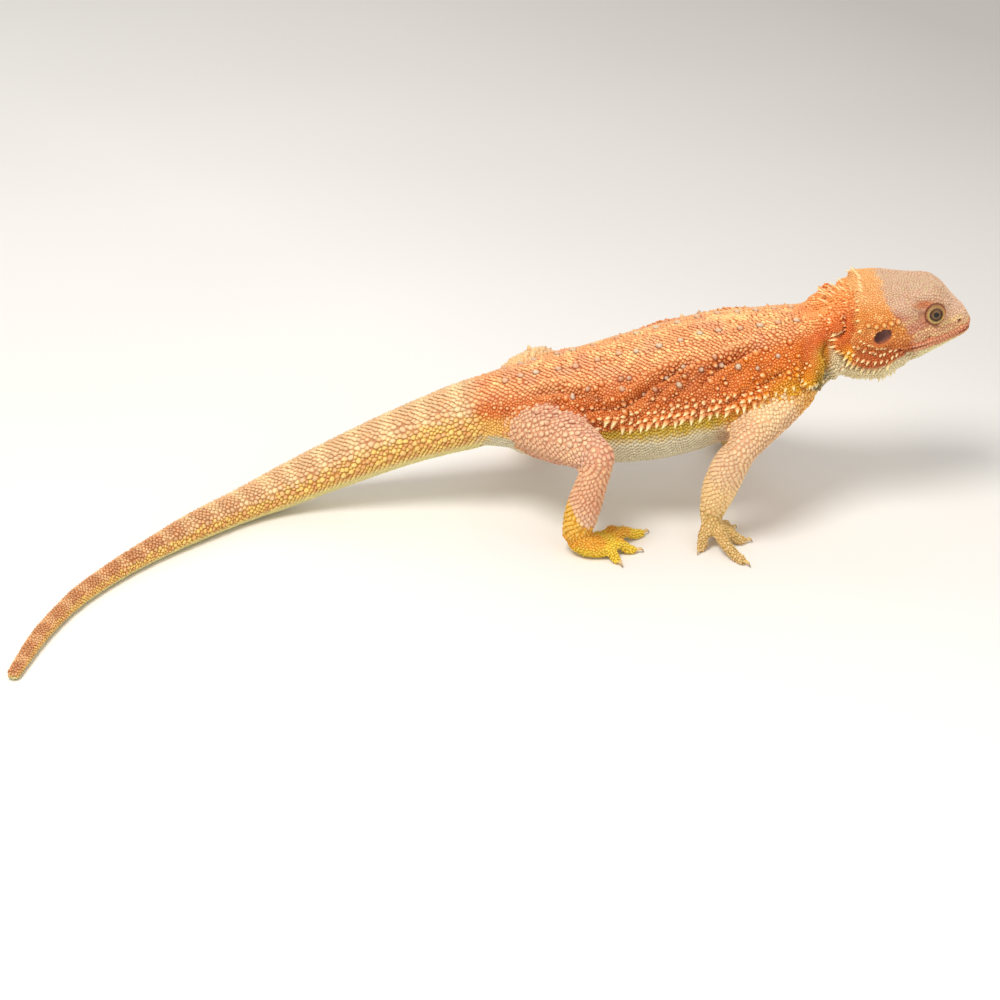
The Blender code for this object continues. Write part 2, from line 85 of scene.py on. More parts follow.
VOXEL = 1.15  # fineness of the skin
JOINED = 0.28  # how far each solid grows so that the thin cuts between them close
SCALE_DEPTH = {"head": 0.3, "trunk": 0.5, "tail": 0.5, "legs": 0.45, "feet": 0.3}  # from solids to skin
SKIN_FLOOR, CLAW_FLOOR = 0.4, 0.05  # how low the skin and the claws come
RAY = 90  # longer than the body is thick
HEAD_START, MOUTH_START = 141.5, 157.0  # where the finer skin of the head begins, and the mouth's corner


def of(owner, nodes):
    """Which of the owners are among the nodes."""
    return np.isin(owner, [FLESH.index(node) for node in nodes])


def by_area(owner, rules):
    """(which rows, rule, the leg's place if any) of each area: head, trunk, tail, legs and feet."""
    for nodes, rule in zip((HEAD, TRUNK, TAIL), rules):
        yield of(owner, nodes), rule, ()
    for place in PLACES:
        *lengths, end = parts_of(place)
        yield of(owner, lengths), rules[3], (place,)
        yield of(owner, (end,)), rules[4], (place,)


def unit(rows):
    return rows / np.maximum(np.linalg.norm(rows, axis=-1, keepdims=True), 1e-12)


def bell(value):
    """1 at 0, falling softly to 0 on both sides."""
    return np.exp(-(value**2))


def ends_faded(share, part):
    """1 along a line, falling to 0 over that part of it at each end."""
    return smooth(0, part, share) * smooth(0, part, 1 - share)


def tree_of(places):
    tree = KDTree(len(places))
    for i, place in enumerate(places.tolist()):
        tree.insert(place, i)
    tree.balance()
    return tree


def put_in_scene(name, data):
    made = bpy.data.objects.new(name, data)
    bpy.context.scene.collection.objects.link(made)
    return made


def mesh_from(name, shape):
    mesh = bpy.data.meshes.new(name)
    shape.to_mesh(mesh)
    shape.free()
    return mesh


def final_mesh(piece):
    """The piece's mesh with its modifiers applied; the piece itself goes."""
    bpy.context.view_layer.update()
    made = bpy.data.meshes.new_from_object(piece.evaluated_get(bpy.context.evaluated_depsgraph_get()))
    bpy.data.objects.remove(piece)
    return made


def read(rows, name, width=3, kind=np.float64):
    """One field of all the elements of a mesh, as rows."""
    flat = np.empty(len(rows) * width, kind)
    rows.foreach_get(name, flat)
    return flat.reshape(-1, width)


def smooth(low, high, value):
    """0 below low, 1 above high, and a soft change between them."""
    share = np.clip((value - low) / (high - low), 0, 1)
    return share * share * (3 - 2 * share)


def noise(points, size, seed):
    """Soft random values from -1 to 1 in space, which change over the given size."""
    grid = points / size + seed * 17.13
    cell = np.floor(grid).astype(np.int64)
    near = grid - cell
    near = near * near * (3 - 2 * near)
    total = np.zeros(len(points))
    for corner in np.ndindex(2, 2, 2):
        at = cell + np.array(corner)
        code = (at[:, 0] * 73856093) ^ (at[:, 1] * 19349663) ^ (at[:, 2] * 83492791)
        code = ((code ^ (code >> 13)) * 1274126177) & 0xFFFFFFFF
        value = ((code >> 8) & 0xFFFF) / 32767.5 - 1
        total += value * np.prod(np.where(corner, near, 1 - near), axis=1)
    return total


def one_side(points):
    """The points with the right half laid over the left, so that y is never negative."""
    return points * np.where(points[:, 1:2] < 0, (1.0, -1.0, 1.0), (1.0, 1.0, 1.0))


def tone(red, green, blue):
    """A linear colour from display values of 0 to 255."""
    rows = np.array((red, green, blue)) / 255
    return np.where(rows <= 0.04045, rows / 12.92, ((rows + 0.055) / 1.055) ** 2.4)


def blend(first, second, share):
    share = np.asarray(share)[..., None]
    return first * (1 - share) + second * share


# ---------------------------------------------------------------- the lines that the body follows

TAIL_LINE = np.array(
    (
        (6, 0, 47.6), (-6.3, 0, 44.6), (-25, 0, 37.8), (-41.5, -0.1, 31.4), (-58.2, -0.5, 24.1),
        (-75, -1.4, 16.6), (-91.6, -5.2, 10.2), (-107.5, -14.6, 6.9), (-122.5, -28.6, 6.1),
        (-137, -43.8, 4.9), (-150.6, -60.8, 4.1), (-163.5, -81.4, 3.6), (-169.6, -96, 3.2),
        (-174.6, -112, 3), (-179.4, -136.5, 2.3),
    )
)
TRUNK_LINE = np.array(
    (
        (-18, 0, 43.6), (-4, 0, 44.8), (16, 0, 46.2), (33, 0, 48.2), (49, 0, 51), (66, 0, 54.8),
        (80, 0, 58), (98, 0, 62.2), (114, 0, 67.4), (122, 0, 70.6), (130, 0, 75), (137, 0, 79.4),
        (143, 0, 82.4), (157, 0, 84.2), (190.6, 0, 84.6),
    )
)
LEG_LINES = {
    "hind_right": ((9, -11, 44.5), (24.2, -28, 45.6), (39.7, -43, 44.6), (35.6, -42.2, 27), (30.4, -41, 9.5)),
    "hind_left": ((9, 11, 44.5), (11.2, 31, 45.4), (19.4, 48, 44.2), (16.4, 50.6, 27), (12.6, 52.6, 10)),
    "fore_right": ((118, -12, 60.4), (107, -25, 53.6), (95.6, -37.5, 46), (89.6, -34.6, 30), (86, -31.4, 14)),
    "fore_left": ((118, 12, 60.4), (109.5, 26, 53.6), (101, 40, 46), (97, 45, 30), (95.4, 49.6, 15.4)),
}


class Line:
    """A smooth line through stations, read by the distance along it."""

    def __init__(self, stations):
        rows = np.asarray(stations, float)
        fine = [rows[0]]
        for i in range(len(rows) - 1):
            before, one = rows[max(0, i - 1)], rows[i]
            two, after = rows[i + 1], rows[min(len(rows) - 1, i + 2)]
            for step in range(1, 9):
                t = step / 8
                a, b = (two - before) / 2, (after - one) / 2
                bend = (2 * one - 2 * two + a + b) * t**3 + (3 * two - 3 * one - 2 * a - b) * t**2
                fine.append(bend + a * t + one)
        self.points = np.array(fine)
        steps = np.linalg.norm(np.diff(self.points, axis=0), axis=1)
        self.far = np.concatenate(([0], np.cumsum(steps)))
        self.length = self.far[-1]

    def at(self, far):
        return np.stack([np.interp(far, self.far, self.points[:, k]) for k in range(3)], axis=-1)

    def along(self, far):
        return unit(self.at(np.asarray(far) + 1.5) - self.at(np.asarray(far) - 1.5))

    def nearest(self, points):
        """(distance along, foot point) of the place on the line nearest to each point."""
        best, found = np.full(len(points), np.inf), np.zeros(len(points))
        for i, (one, two) in enumerate(zip(self.points, self.points[1:])):
            step = two - one
            share = np.clip(((points - one) @ step) / (step @ step), 0, 1)
            away = np.linalg.norm(points - (one + share[:, None] * step), axis=1)
            nearer = away < best
            best = np.where(nearer, away, best)
            found = np.where(nearer, self.far[i] + share * (self.far[i + 1] - self.far[i]), found)
        return found, self.at(found)

    def around(self, points):
        """(distance along, direction of the line, degrees round it from its top) for each point."""
        far, feet = self.nearest(points)
        along = self.along(far)
        away = points - feet
        away = unit(away - along * np.sum(away * along, axis=1, keepdims=True))
        top = np.array((0.0, 0.0, 1.0)) - along * along[:, 2:]
        return far, along, np.degrees(np.arccos(np.clip(np.sum(away * unit(top), axis=1), -1, 1)))


TAIL_PATH, TRUNK_PATH = Line(TAIL_LINE), Line(TRUNK_LINE)
LEG_PATHS = {place: Line(rows) for place, rows in LEG_LINES.items()}


# ---------------------------------------------------------------- the skin


def merged(node):
    """The node's solid as one joined surface, in millimetres, with the spines let down into it."""
    shape = bmesh.new()
    shape.from_mesh(frame["nodes"][node].data)
    bmesh.ops.remove_doubles(shape, verts=shape.verts, dist=1e-6)
    for corner in shape.verts:
        corner.co = Vector(np.array(corner.co) / MM - ORIGIN)
    shape.normal_update()
    if node in HEAD + TRUNK:
        sunk = {}
        for corner in shape.verts:
            if any(abs(face.normal.x) > 0.98 for face in corner.link_faces):
                continue
            around = [edge.other_vert(corner).co for edge in corner.link_edges]
            middle = sum(around, Vector()) / len(around)
            if (corner.co - middle).dot(corner.normal) > (1.5 if len(around) == 4 else 1.9):
                sunk[corner] = middle + corner.normal * 0.4
        for corner, place in sunk.items():
            corner.co = place
        shape.normal_update()
    for corner in shape.verts:
        corner.co += corner.normal * JOINED
    return shape


def drape(shapes):
    """One surface over all the shapes, of faces with four corners."""
    joined = bmesh.new()
    for shape in shapes:
        mesh = mesh_from("solid", shape)
        joined.from_mesh(mesh)
        bpy.data.meshes.remove(mesh)
    draped = put_in_scene("joined solids", mesh_from("joined solids", joined))
    remesh = draped.modifiers.new("one skin", "REMESH")
    remesh.mode = "VOXEL"
    remesh.voxel_size = VOXEL
    return final_mesh(draped)


def relax(points, edges, rounds, hold):
    """The points smoothed along the edges without shrinking; hold is how much of each point stays."""
    first, second = edges[:, 0], edges[:, 1]
    count = np.bincount(edges.ravel(), minlength=len(points))[:, None]
    keep = (1 - hold)[:, None]
    for _ in range(rounds):
        for pull in (0.55, -0.57):
            total = [
                np.bincount(first, points[second, k], len(points))
                + np.bincount(second, points[first, k], len(points))
                for k in range(3)
            ]
            points = points + (np.stack(total, axis=1) / np.maximum(count, 1) - points) * pull * keep
    return points


def points_of(mesh):
    return read(mesh.vertices, "co")


def set_points(mesh, points):
    mesh.vertices.foreach_set("co", points.ravel())
    mesh.update()


def normals_of(mesh):
    return read(mesh.vertices, "normal")


def finer(mesh, chosen):
    """The mesh with the faces whose corners are all chosen cut into four."""
    shape = bmesh.new()
    shape.from_mesh(mesh)
    shape.verts.ensure_lookup_table()
    edges = [edge for edge in shape.edges if all(chosen[corner.index] for corner in edge.verts)]
    bmesh.ops.subdivide_edges(shape, edges=edges, cuts=1, use_grid_fill=True)
    bmesh.ops.triangulate(shape, faces=[face for face in shape.faces if len(face.verts) > 4])
    shape.to_mesh(mesh)
    shape.free()
    return mesh


EYE_AXIS = unit(np.array((0.14, 1.0, 0.12)))
LID_EDGE, LID_FOLD, LID_END = 32.0, 60.0, 78.0  # degrees from the eye's axis
NOSTRIL = np.array((183.6, 8.2, 88.0))
EAR, EAR_HALF, EAR_RISE = np.array((151.4, 21.0, 86.6)), np.array((3.9, 2.6)), 28.0
MOUTH = np.array(((157.0, 80.0), (163.0, 79.3), (170.0, 79.8), (178.0, 81.2), (186.0, 83.2), (191.5, 85.2)))

# Flesh over and between the solids, as a row of balls on each side: from, to, radius at each end
SOFT_FORMS = (
    ((150, 16.8, 80.5), (134.6, 16.6, 83.6), 4.6, 2.3), ((152, 11, 69.5), (137, 12.5, 74.5), 5.4, 4.6),
    ((142, 12, 84), (131, 10, 84), 9, 8), ((136.5, 14.2, 90), (132, 14.6, 88.6), 3.6, 3.2),
    ((125.6, 18.6, 74.6), (122.6, 20.4, 71.4), 5.2, 4.6), ((12, 9, 41), (26, 20, 42), 12, 12),
)

# Forms raised or sunk on each side: centre, reach, height
SWELLS = (
    ((176.5, 4, 101), 4.5, 0.9), ((173, 9.5, 100.5), 4, 0.6), ((163, 0, 104), 6, -0.5),
    ((153, 9, 102), 5, 0.5), ((186.5, 2.5, 90), 3.4, 0.4), ((164.5, 16.5, 90), 3.6, -0.9),
    ((164, 15, 85), 4, -0.4), ((178.6, 11, 90.5), 2.8, -0.6), ((158, 19, 85), 4.5, 0.5),
    ((145, 12, 99.5), 4, 0.4), ((147, 20, 77.5), 4, 0.9), ((133, 4, 97), 4.5, 1.2),
    ((125.2, 0, 93), 5.2, -3.4), ((133.6, 15.8, 89.4), 3, 2.4), ((123.4, 22, 69.5), 3.2, 1.9),
    ((130, 9, 61.5), 4, 2.4), ((144.5, 9, 64), 5, 0.8), ((89.5, 37.2, 48.5), 4.4, -3.4),
    ((8.5, 38, 53.5), 5.5, -1.8),
)

# Ridges of the head on each side: the line they follow, half their width, their height
RIDGES = (
    (
        ((163.5, 14.6, 95.6), (168, 13.4, 98.2), (172.6, 12.4, 98.6), (177, 9.8, 96.8),
         (180, 8.6, 94.6)),
        1.3, 0.9,
    ),
    (((178, 9.6, 95.6), (182, 8.2, 92.6), (186, 6, 90)), 1.2, 0.4),
)

# Folds pressed into the skin of each side: the line they follow, half their width, their depth
FOLDS = (
    (
        ((31, 24, 56), (36, 25, 57), (46, 28.5, 58), (55.7, 27, 63.6), (61, 25, 68.4),
         (70, 22.8, 73), (79, 19.4, 78)),
        1.8, 4,
    ),
    (((58, 30, 60), (63, 28, 66), (70, 26, 70.6), (77, 25, 73.4)), 1.5, 2.6),
    (((79, 29, 68), (82, 27.5, 71.7), (87, 24.6, 75.6), (95, 21.3, 78.8), (105, 18.8, 81.6)), 1.7, 3.4),
    (((99, 30.5, 65), (103.3, 29, 68.8), (108.5, 27.4, 71.6), (114.5, 25.5, 74.3)), 1.5, 2.6),
    (((10, 14.7, 58.2), (24, 17, 61.4), (34, 22, 60.4), (44, 25, 61)), 1.8, 2.6),
    (((88, 31, 62), (94, 31, 64), (99, 29.8, 69), (104, 26, 74)), 1.4, 1.8),
    (((66, 31, 62), (72, 29, 68), (80, 25.6, 73.6), (88, 22, 77.6)), 1.3, 1.6),
    (((117, 26, 66), (120, 25, 71), (121, 22, 78), (121, 17, 84)), 1.7, 1.2),
    (((131, 8, 61.5), (130, 15, 66), (129.4, 19.4, 73), (129.2, 19.4, 79), (130.4, 18, 86)), 2, 4.2),
    (
        ((132, 19, 81), (136, 18.6, 77.4), (139.6, 18, 72.8), (145, 18, 71.4), (151, 17.8, 72.2),
         (157, 15.4, 75)),
        1.3, 1.7,
    ),
    (((118.4, 25, 68), (121, 23.4, 65), (125, 20.6, 63.4), (129, 17, 63.4)), 1.3, 1.6),
    (((131, 18.4, 86.6), (134.4, 18, 86), (137.6, 17.6, 89)), 1.2, 2),
    (((136.8, 16.8, 86), (136.6, 16, 91), (136.2, 13, 95)), 1.3, 1.9),
    (((140, 21, 86), (139.6, 19, 94), (139.6, 13, 99), (139.8, 4, 101.5)), 1.5, 2),
)


def near_line(points, line):
    """(distance to the nearest place on the line, share along it) for each point."""
    rows = np.array(line, float)
    best, share = np.full(len(points), np.inf), np.zeros(len(points))
    for i, (one, two) in enumerate(zip(rows, rows[1:])):
        step = two - one
        part = np.clip(((points - one) @ step) / (step @ step), 0, 1)
        away = np.linalg.norm(points - (one + part[:, None] * step), axis=1)
        share = np.where(away < best, (i + part) / (len(rows) - 1), share)
        best = np.minimum(best, away)
    return best, share


def ear_distance(sided):
    """1 on the rim of the ear's opening, less inside it."""
    turn = math.radians(EAR_RISE)
    across = sided[:, 0] - EAR[0]
    above = sided[:, 2] - EAR[2]
    long = across * math.cos(turn) + above * math.sin(turn)
    short = above * math.cos(turn) - across * math.sin(turn)
    away = np.hypot(long / EAR_HALF[0], short / EAR_HALF[1])
    return np.where(np.abs(sided[:, 1] - EAR[1]) < 5, away, 99.0)


def mouth_height(x):
    return np.interp(x, MOUTH[:, 0], MOUTH[:, 1])


def lifted(points, sided):
    """How far each point of the skin is raised: folds, lips, swells, ridges, nostrils, ears and wrinkles."""
    lift = np.zeros(len(points))
    ripple = 1 + 0.25 * noise(points, 4.0, 3)
    for line, half, depth in FOLDS:
        away, share = near_line(sided, line)
        fade = ends_faded(share, 0.2)
        lift -= depth * fade * ripple * bell(away / half)
        lift += depth * 0.45 * fade * bell((away - half * 2.1) / (half * 0.9))
    on_face = smooth(156.5, 160, sided[:, 0])
    gap = sided[:, 2] - mouth_height(sided[:, 0])
    lift -= on_face * 0.85 * bell(gap / 0.45)
    lift += on_face * 0.25 * bell((gap - 1.3) / 0.8)
    for centre, reach, height in SWELLS:
        lift += height * bell(np.linalg.norm(sided - centre, axis=1) / reach)
    for line, half, height in RIDGES:
        away, share = near_line(sided, line)
        lift += height * smooth(0, 0.2, share) * smooth(0, 0.2, 1 - share) * bell(away / half)
    nostril = np.linalg.norm((sided - NOSTRIL) * (0.8, 0.7, 1.15), axis=1)
    lift += 0.35 * bell((nostril - 1.1) / 0.5) - 1.5 * bell(nostril / 0.62)
    ear = ear_distance(sided)
    lift -= 1.0 * (1 - smooth(0.72, 1.05, ear))
    lift += 0.45 * bell((ear - 1.28) / 0.2)
    wrinkle = smooth(100, 128, points[:, 0]) * (1 - smooth(136, 142, points[:, 0]))
    return lift + 0.16 * wrinkle * noise(points * (1.0, 1.0, 0.45), 2.2, 9)


def lidded(sided):
    """The points of one side with the lids drawn round the eye."""
    away = sided - EYE_CENTRE
    far = np.linalg.norm(away, axis=1)
    angle = np.degrees(np.arccos(np.clip(away @ EYE_AXIS / far, -1, 1)))
    around = np.arctan2(away[:, 2], away[:, 0])
    opening = LID_EDGE - 2.5 * np.abs(np.sin(around))  # a little longer than it is high
    lid = EYE_RADIUS + 0.25 + 0.45 * smooth(0, 6, angle - opening) - 0.2 * smooth(8, 16, angle - opening)
    fold = LID_FOLD + 4.5 * np.cos(around + 0.7)  # the fold lies lower and further forward than the eye
    lid = lid - 0.5 * bell((angle - fold) / 2.6)
    lid = lid + 0.35 * bell((angle - fold - 8) / 4.5)
    inner = np.where(angle < opening, EYE_RADIUS - 0.9 + smooth(-4, 0, angle - opening), lid)
    share = smooth(LID_FOLD + 4, LID_END, angle)
    goal = inner * (1 - share) + far * share
    goal = np.where(far < 12, goal, far)
    return EYE_CENTRE + away / far[:, None] * goal[:, None]


def sculpt(points, normals):
    """The skin with its folds, mouth, nostrils, ears and lids."""
    side = np.sign(points[:, 1:2])
    flip = np.concatenate((np.ones_like(side), side, np.ones_like(side)), axis=1)
    points = points + normals * lifted(points, points * flip)[:, None]
    points[:, 0] -= np.maximum(points[:, 0] - 186.5, 0) * 0.3  # a blunter snout
    return lidded(points * flip) * flip


class Skin:
    """The finished skin as arrays, and what is nearest to a point of it."""

    def __init__(self, mesh, solids):
        self.mesh = mesh
        self.points, self.normals = points_of(mesh), normals_of(mesh)
        mesh.calc_loop_triangles()
        self.triangles = read(mesh.loop_triangles, "vertices", 3, np.int32)
        self.tree = BVHTree.FromPolygons(self.points.tolist(), self.triangles.tolist())
        self.node = solids.owner(self.points)

    def settle(self, points):
        """(places, normals, owning node) on the skin nearest to the points."""
        places, triangles = np.empty((len(points), 3)), np.empty(len(points), np.int32)
        for i, point in enumerate(points.tolist()):
            place, _, triangle, _ = self.tree.find_nearest(point)
            places[i], triangles[i] = place, triangle
        corners = self.triangles[triangles]
        normals = unit(self.normals[corners].sum(axis=1))
        away = np.linalg.norm(self.points[corners] - places[:, None, :], axis=2)
        return places, normals, self.node[corners[np.arange(len(points)), away.argmin(axis=1)]]


class Solids:
    """The solids' surfaces, which tell what node lies nearest to a point."""

    def __init__(self, shapes):
        points, faces, self.owners = [], [], []
        for index, shape in enumerate(shapes):
            start = len(points)
            shape.verts.index_update()
            points += [tuple(corner.co) for corner in shape.verts]
            for face in shape.faces:
                faces.append([start + corner.index for corner in face.verts])
                self.owners.append(index)
        self.owners = np.array(self.owners)
        self.tree = BVHTree.FromPolygons(points, faces)

    def owner(self, points):
        return self.owners[[self.tree.find_nearest(point)[2] for point in points.tolist()]]


def ball_shape(centre, radius):
    shape = bmesh.new()
    bmesh.ops.create_icosphere(shape, subdivisions=3, radius=radius)
    bmesh.ops.translate(shape, verts=shape.verts, vec=Vector(centre))
    return shape


def claw_ends(place):
    """(root, tip) of each claw of a foot, read from its solid: the root is the end by the foot."""
    tree = tree_of(points_of(frame["nodes"][parts_of(place)[2]].data))
    ends = []
    for number in range(1, 6):
        rows = points_of(frame["nodes"][f"claw_{place}_{number}"].data)
        rows = np.unique(np.round(rows / MM - ORIGIN, 4), axis=0)
        order = np.argsort([tree.find(Vector((row + ORIGIN) * MM))[2] for row in rows])
        ends.append((rows[order[:5]].mean(axis=0), rows[order[-3:]].mean(axis=0)))
    return ends


def make_skin():
    """The one skin over all the flesh."""
    shapes = [merged(node) for node in FLESH]
    solids = Solids(shapes)
    balls = [(EYE_CENTRE * (1, side, 1), EYE_RADIUS + 0.3) for side in (-1, 1)]
    for start, stop, wide, narrow in SOFT_FORMS:
        for side in (-1, 1):
            for share in np.linspace(0, 1, 9):
                centre = (np.array(start) * (1 - share) + np.array(stop) * share) * (1, side, 1)
                balls.append((centre, wide + (narrow - wide) * share))
    for place in PLACES:
        for root, tip in claw_ends(place):
            for share in np.linspace(-0.4, 0.15, 5):
                balls.append((root + (tip - root) * share + (0, 0, 0.3), 2.1 - 1.5 * max(share, 0)))
    mesh = drape(shapes + [ball_shape(centre, radius) for centre, radius in balls])
    points = points_of(mesh)
    node = solids.owner(points)
    slender = of(node, FEET + ("tail_tip",))
    points = relax(points, read(mesh.edges, "vertices", 2, np.int32), 14, np.where(slender, 0.55, 0.0))
    for i in np.flatnonzero(slender):
        points[i] = 0.3 * points[i] + 0.7 * np.array(solids.tree.find_nearest(points[i])[0])
    set_points(mesh, points)
    depth = np.zeros(len(points))
    for area, nodes in AREAS.items():
        depth[of(node, nodes)] = SCALE_DEPTH[area]
    points = points - normals_of(mesh) * (depth + JOINED)[:, None]
    points[:, 2] = np.maximum(points[:, 2], SKIN_FLOOR)
    set_points(mesh, points)
    mesh = finer(mesh, points[:, 0] > HEAD_START)
    points = points_of(mesh)
    sided = one_side(points)
    close = np.linalg.norm(sided - EYE_CENTRE - EYE_AXIS * 3, axis=1) < 6.5
    close |= np.linalg.norm(sided - NOSTRIL, axis=1) < 2.6
    close |= (np.abs(points[:, 2] - mouth_height(points[:, 0])) < 1.6) & (points[:, 0] > MOUTH_START)
    close |= (ear_distance(sided) < 1.5) & (ear_distance(sided) > 0.5)
    mesh = finer(mesh, close)
    set_points(mesh, sculpt(points_of(mesh), normals_of(mesh)))
    return Skin(mesh, solids)


skin = make_skin()

# ---------------------------------------------------------------- where the scales grow


class Roots:
    """What scales or spines grow from: places, half widths, the ways they lie and their forms."""

    def __init__(self):
        self.places, self.sizes, self.lies, self.forms = [], [], [], []

    def add(self, places, size, lie, form):
        """size is one or many half widths; form is (rise, keel, lap, how pale the crest is, 2 for grey)."""
        places = np.asarray(places, float).reshape(-1, 3)
        self.places.append(places)
        self.sizes.append(np.broadcast_to(np.asarray(size, float), len(places)))
        self.lies.append(np.broadcast_to(np.asarray(lie, float), (len(places), 3)))
        self.forms.append(np.broadcast_to(np.asarray(form, float), (len(places), 4)))

    def rows(self):
        return tuple(np.concatenate(rows) for rows in (self.places, self.sizes, self.lies, self.forms))


SPOKES = 72  # rays round the body for each row of scales
WIDER = 1.4  # rows stand closer than the places in a row, so that the scales are set as diamonds


def hit_on_skin(start, way, reach, missed=None):
    """Where a ray from the start meets the skin."""
    hit = skin.tree.ray_cast(Vector(start), Vector(way), reach)[0]
    return missed if hit is None else np.array(hit)


def ring_of_hits(centre, along, up):
    """Where rays from the centre meet the skin, from the top round one way; nan where one misses."""
    along, up = Vector(along), Vector(up)
    top = (up - along * along.dot(up)).normalized()
    across = top.cross(along)
    turns = [2 * math.pi * k / SPOKES for k in range(SPOKES)]
    ways = [top * math.cos(turn) + across * math.sin(turn) for turn in turns]
    return np.array([hit_on_skin(centre, way, RAY, (math.nan,) * 3) for way in ways])


def row_places(line, start, stop, step, spacing, up=(0, 0, 1)):
    """Rows of places round the line, each row half a space off its neighbour.

    step is the space between rows at a distance along, spacing that between places at a distance along
    and an angle from the top.
    """
    found, far, number = [], start, 0
    angles = np.linspace(0, 180, SPOKES // 2 + 1)
    while far < stop:
        hits = ring_of_hits(line.at(far), line.along(far), up)
        gaps = spacing(far, angles)
        for way in (1, -1):
            rows = hits[(way * np.arange(SPOKES // 2 + 1)) % SPOKES]
            steps = np.linalg.norm(np.diff(rows, axis=0), axis=1)
            broken = np.isnan(steps) | (steps > 3.0 * np.nanmedian(steps) + 0.6)
            steps = np.where(broken, 0, steps)
            count = np.concatenate(([0], np.cumsum(steps / (gaps[1:] + gaps[:-1]) * 2 / WIDER)))
            first = 0.5 if number % 2 else (0.0 if way == 1 else 1.0)
            at = np.arange(first, count[-1] - 0.3, 1.0)
            rows = np.where(np.isnan(rows), 1e4, rows)
            places = np.stack([np.interp(at, count, rows[:, k]) for k in range(3)], axis=1)
            places = places[np.abs(places).max(axis=1) < 400]
            found.append(places)
        far += step(far) / WIDER
        number += 1
    return np.concatenate(found)


TRIES, PUSHES = 6, 5  # tries for each scale that fits, and rounds of pushing them apart


def cell_of(place):
    """The cell of a grid, a millimetre wide, that holds the place."""
    return tuple(math.floor(value) for value in place)


def crowded(grid, place, gap):
    """Whether a place already in the grid lies nearer than the two gaps allow."""
    x, y, z = place
    i, j, k = cell_of(place)
    around = range(-1, 2) if gap < 1.1 else range(-2, 3)
    for a, b, c in itertools.product(around, repeat=3):
        for u, v, w, other in grid.get((i + a, j + b, k + c), ()):
            near = 0.43 * (gap + other)
            if (x - u) ** 2 + (y - v) ** 2 + (z - w) ** 2 < near * near:
                return True
    return False


def pushed_apart(places, spacing, taken):
    """The places, on the skin, moved a little away from neighbours that are too near."""
    places, _, owner = skin.settle(places)
    tree = tree_of(np.concatenate((places, taken)))
    push = np.zeros_like(places)
    for i, (place, gap) in enumerate(zip(places.tolist(), spacing(places, owner) * 1.03)):
        for other, _, away in tree.find_n(place, 8):
            if 1e-6 < away < gap:
                push[i] += (np.array(place) - other) * (gap / away - 1) * 0.22
    return places + push


def scatter(spacing, taken, seed):
    """Places spread evenly over the skin left free: spacing(points, owners) apart, clear of those taken."""
    draw = np.random.default_rng(seed)
    corners = skin.points[skin.triangles]
    owner = skin.node[skin.triangles[:, 0]]
    area = np.linalg.norm(np.cross(corners[:, 1] - corners[:, 0], corners[:, 2] - corners[:, 0]), axis=1) / 2
    share = area / spacing(corners.mean(axis=1), owner) ** 2
    count = int(share.sum() * TRIES)
    pick = draw.choice(len(share), count, p=share / share.sum())
    weight = draw.random((count, 2))
    weight = np.where(weight.sum(axis=1, keepdims=True) > 1, 1 - weight, weight)
    one, two, three = (corners[pick, k] for k in range(3))
    tries = one + (two - one) * weight[:, :1] + (three - one) * weight[:, 1:]
    grid, found = {}, []
    for place, gap in zip(*(rows.tolist() for rows in taken)):
        grid.setdefault(cell_of(place), []).append((*place, gap))
    for place, gap in zip(tries.tolist(), spacing(tries, owner[pick]).tolist()):
        if not crowded(grid, place, gap):
            grid.setdefault(cell_of(place), []).append((*place, gap))
            found.append(place)
    places = np.array(found)
    for _ in range(PUSHES):
        places = pushed_apart(places, spacing, taken[0])
    return skin.settle(places)[0]


# ---------------------------------------------------------------- markings

ORANGE, DEEP_ORANGE, GOLD = tone(242, 164, 104), tone(226, 126, 52), tone(252, 214, 142)
RUST, PINK_ORANGE, OLIVE = tone(170, 78, 36), tone(228, 150, 114), tone(206, 172, 46)
BELLY, CREAM, YELLOW = tone(220, 214, 184), tone(238, 228, 188), tone(240, 204, 92)
TAIL_PALE, TAIL_BROWN, TAIL_RUST = tone(250, 222, 170), tone(236, 194, 146), tone(212, 150, 100)
TAIL_SIDE_YELLOW, TAIL_UNDER, TAIL_ORANGE = tone(238, 200, 108), tone(230, 220, 152), tone(232, 158, 98)
POUCH, BROW_BROWN = tone(230, 214, 170), tone(212, 112, 48)
LEG_PINK, LEG_CREAM, LEG_ROSE = tone(227, 176, 150), tone(238, 208, 156), tone(218, 156, 128)
FOOT_YELLOW, FOOT_ORANGE, HAND_TAN = tone(240, 206, 58), tone(228, 150, 40), tone(218, 184, 112)
CROWN, CROWN_SPECK, SNOUT = tone(222, 186, 156), tone(204, 180, 138), tone(234, 196, 166)
CHEEK, LIP_PINK, STRIPE = tone(208, 142, 112), tone(224, 146, 106), tone(240, 210, 152)
CHIN, HEAD_ORANGE, DRUM = tone(236, 226, 174), tone(236, 160, 78), tone(104, 66, 60)
CREST, GREY_PEARL, TIP_CREAM = tone(248, 222, 170), tone(200, 186, 164), tone(250, 230, 170)
# painted shade: the second colour darkens the nostril's opening; the third is the mouth's own dark red with
# painted shade in its groove
DRUM_LIGHT, NOSTRIL_SHADE, MOUTH_SHADE_RED = tone(150, 104, 96), tone(70, 40, 30), tone(116, 44, 34)


def fold_shade(points):
    """Painted shade in the folds of the skin: how deep in a fold each point lies, from 0 to 1."""
    sided, shade = one_side(points), np.zeros(len(points))
    for line, half, depth in FOLDS:
        away, share = near_line(sided, line)
        fade = ends_faded(share, 0.15)
        shade = np.maximum(shade, fade * min(1.0, depth / 2.4) * bell(away / (half * 0.75)))
    return shade


FLAP = np.array(  # the upper edge of the throat's pale skin: x, height
    (
        (126, 84), (132, 81.5), (136, 77.6), (138, 75.4), (140, 73.4), (145, 72.2), (150, 72.8),
        (155, 74.6), (160, 76.6), (165, 77.2),
    )
)


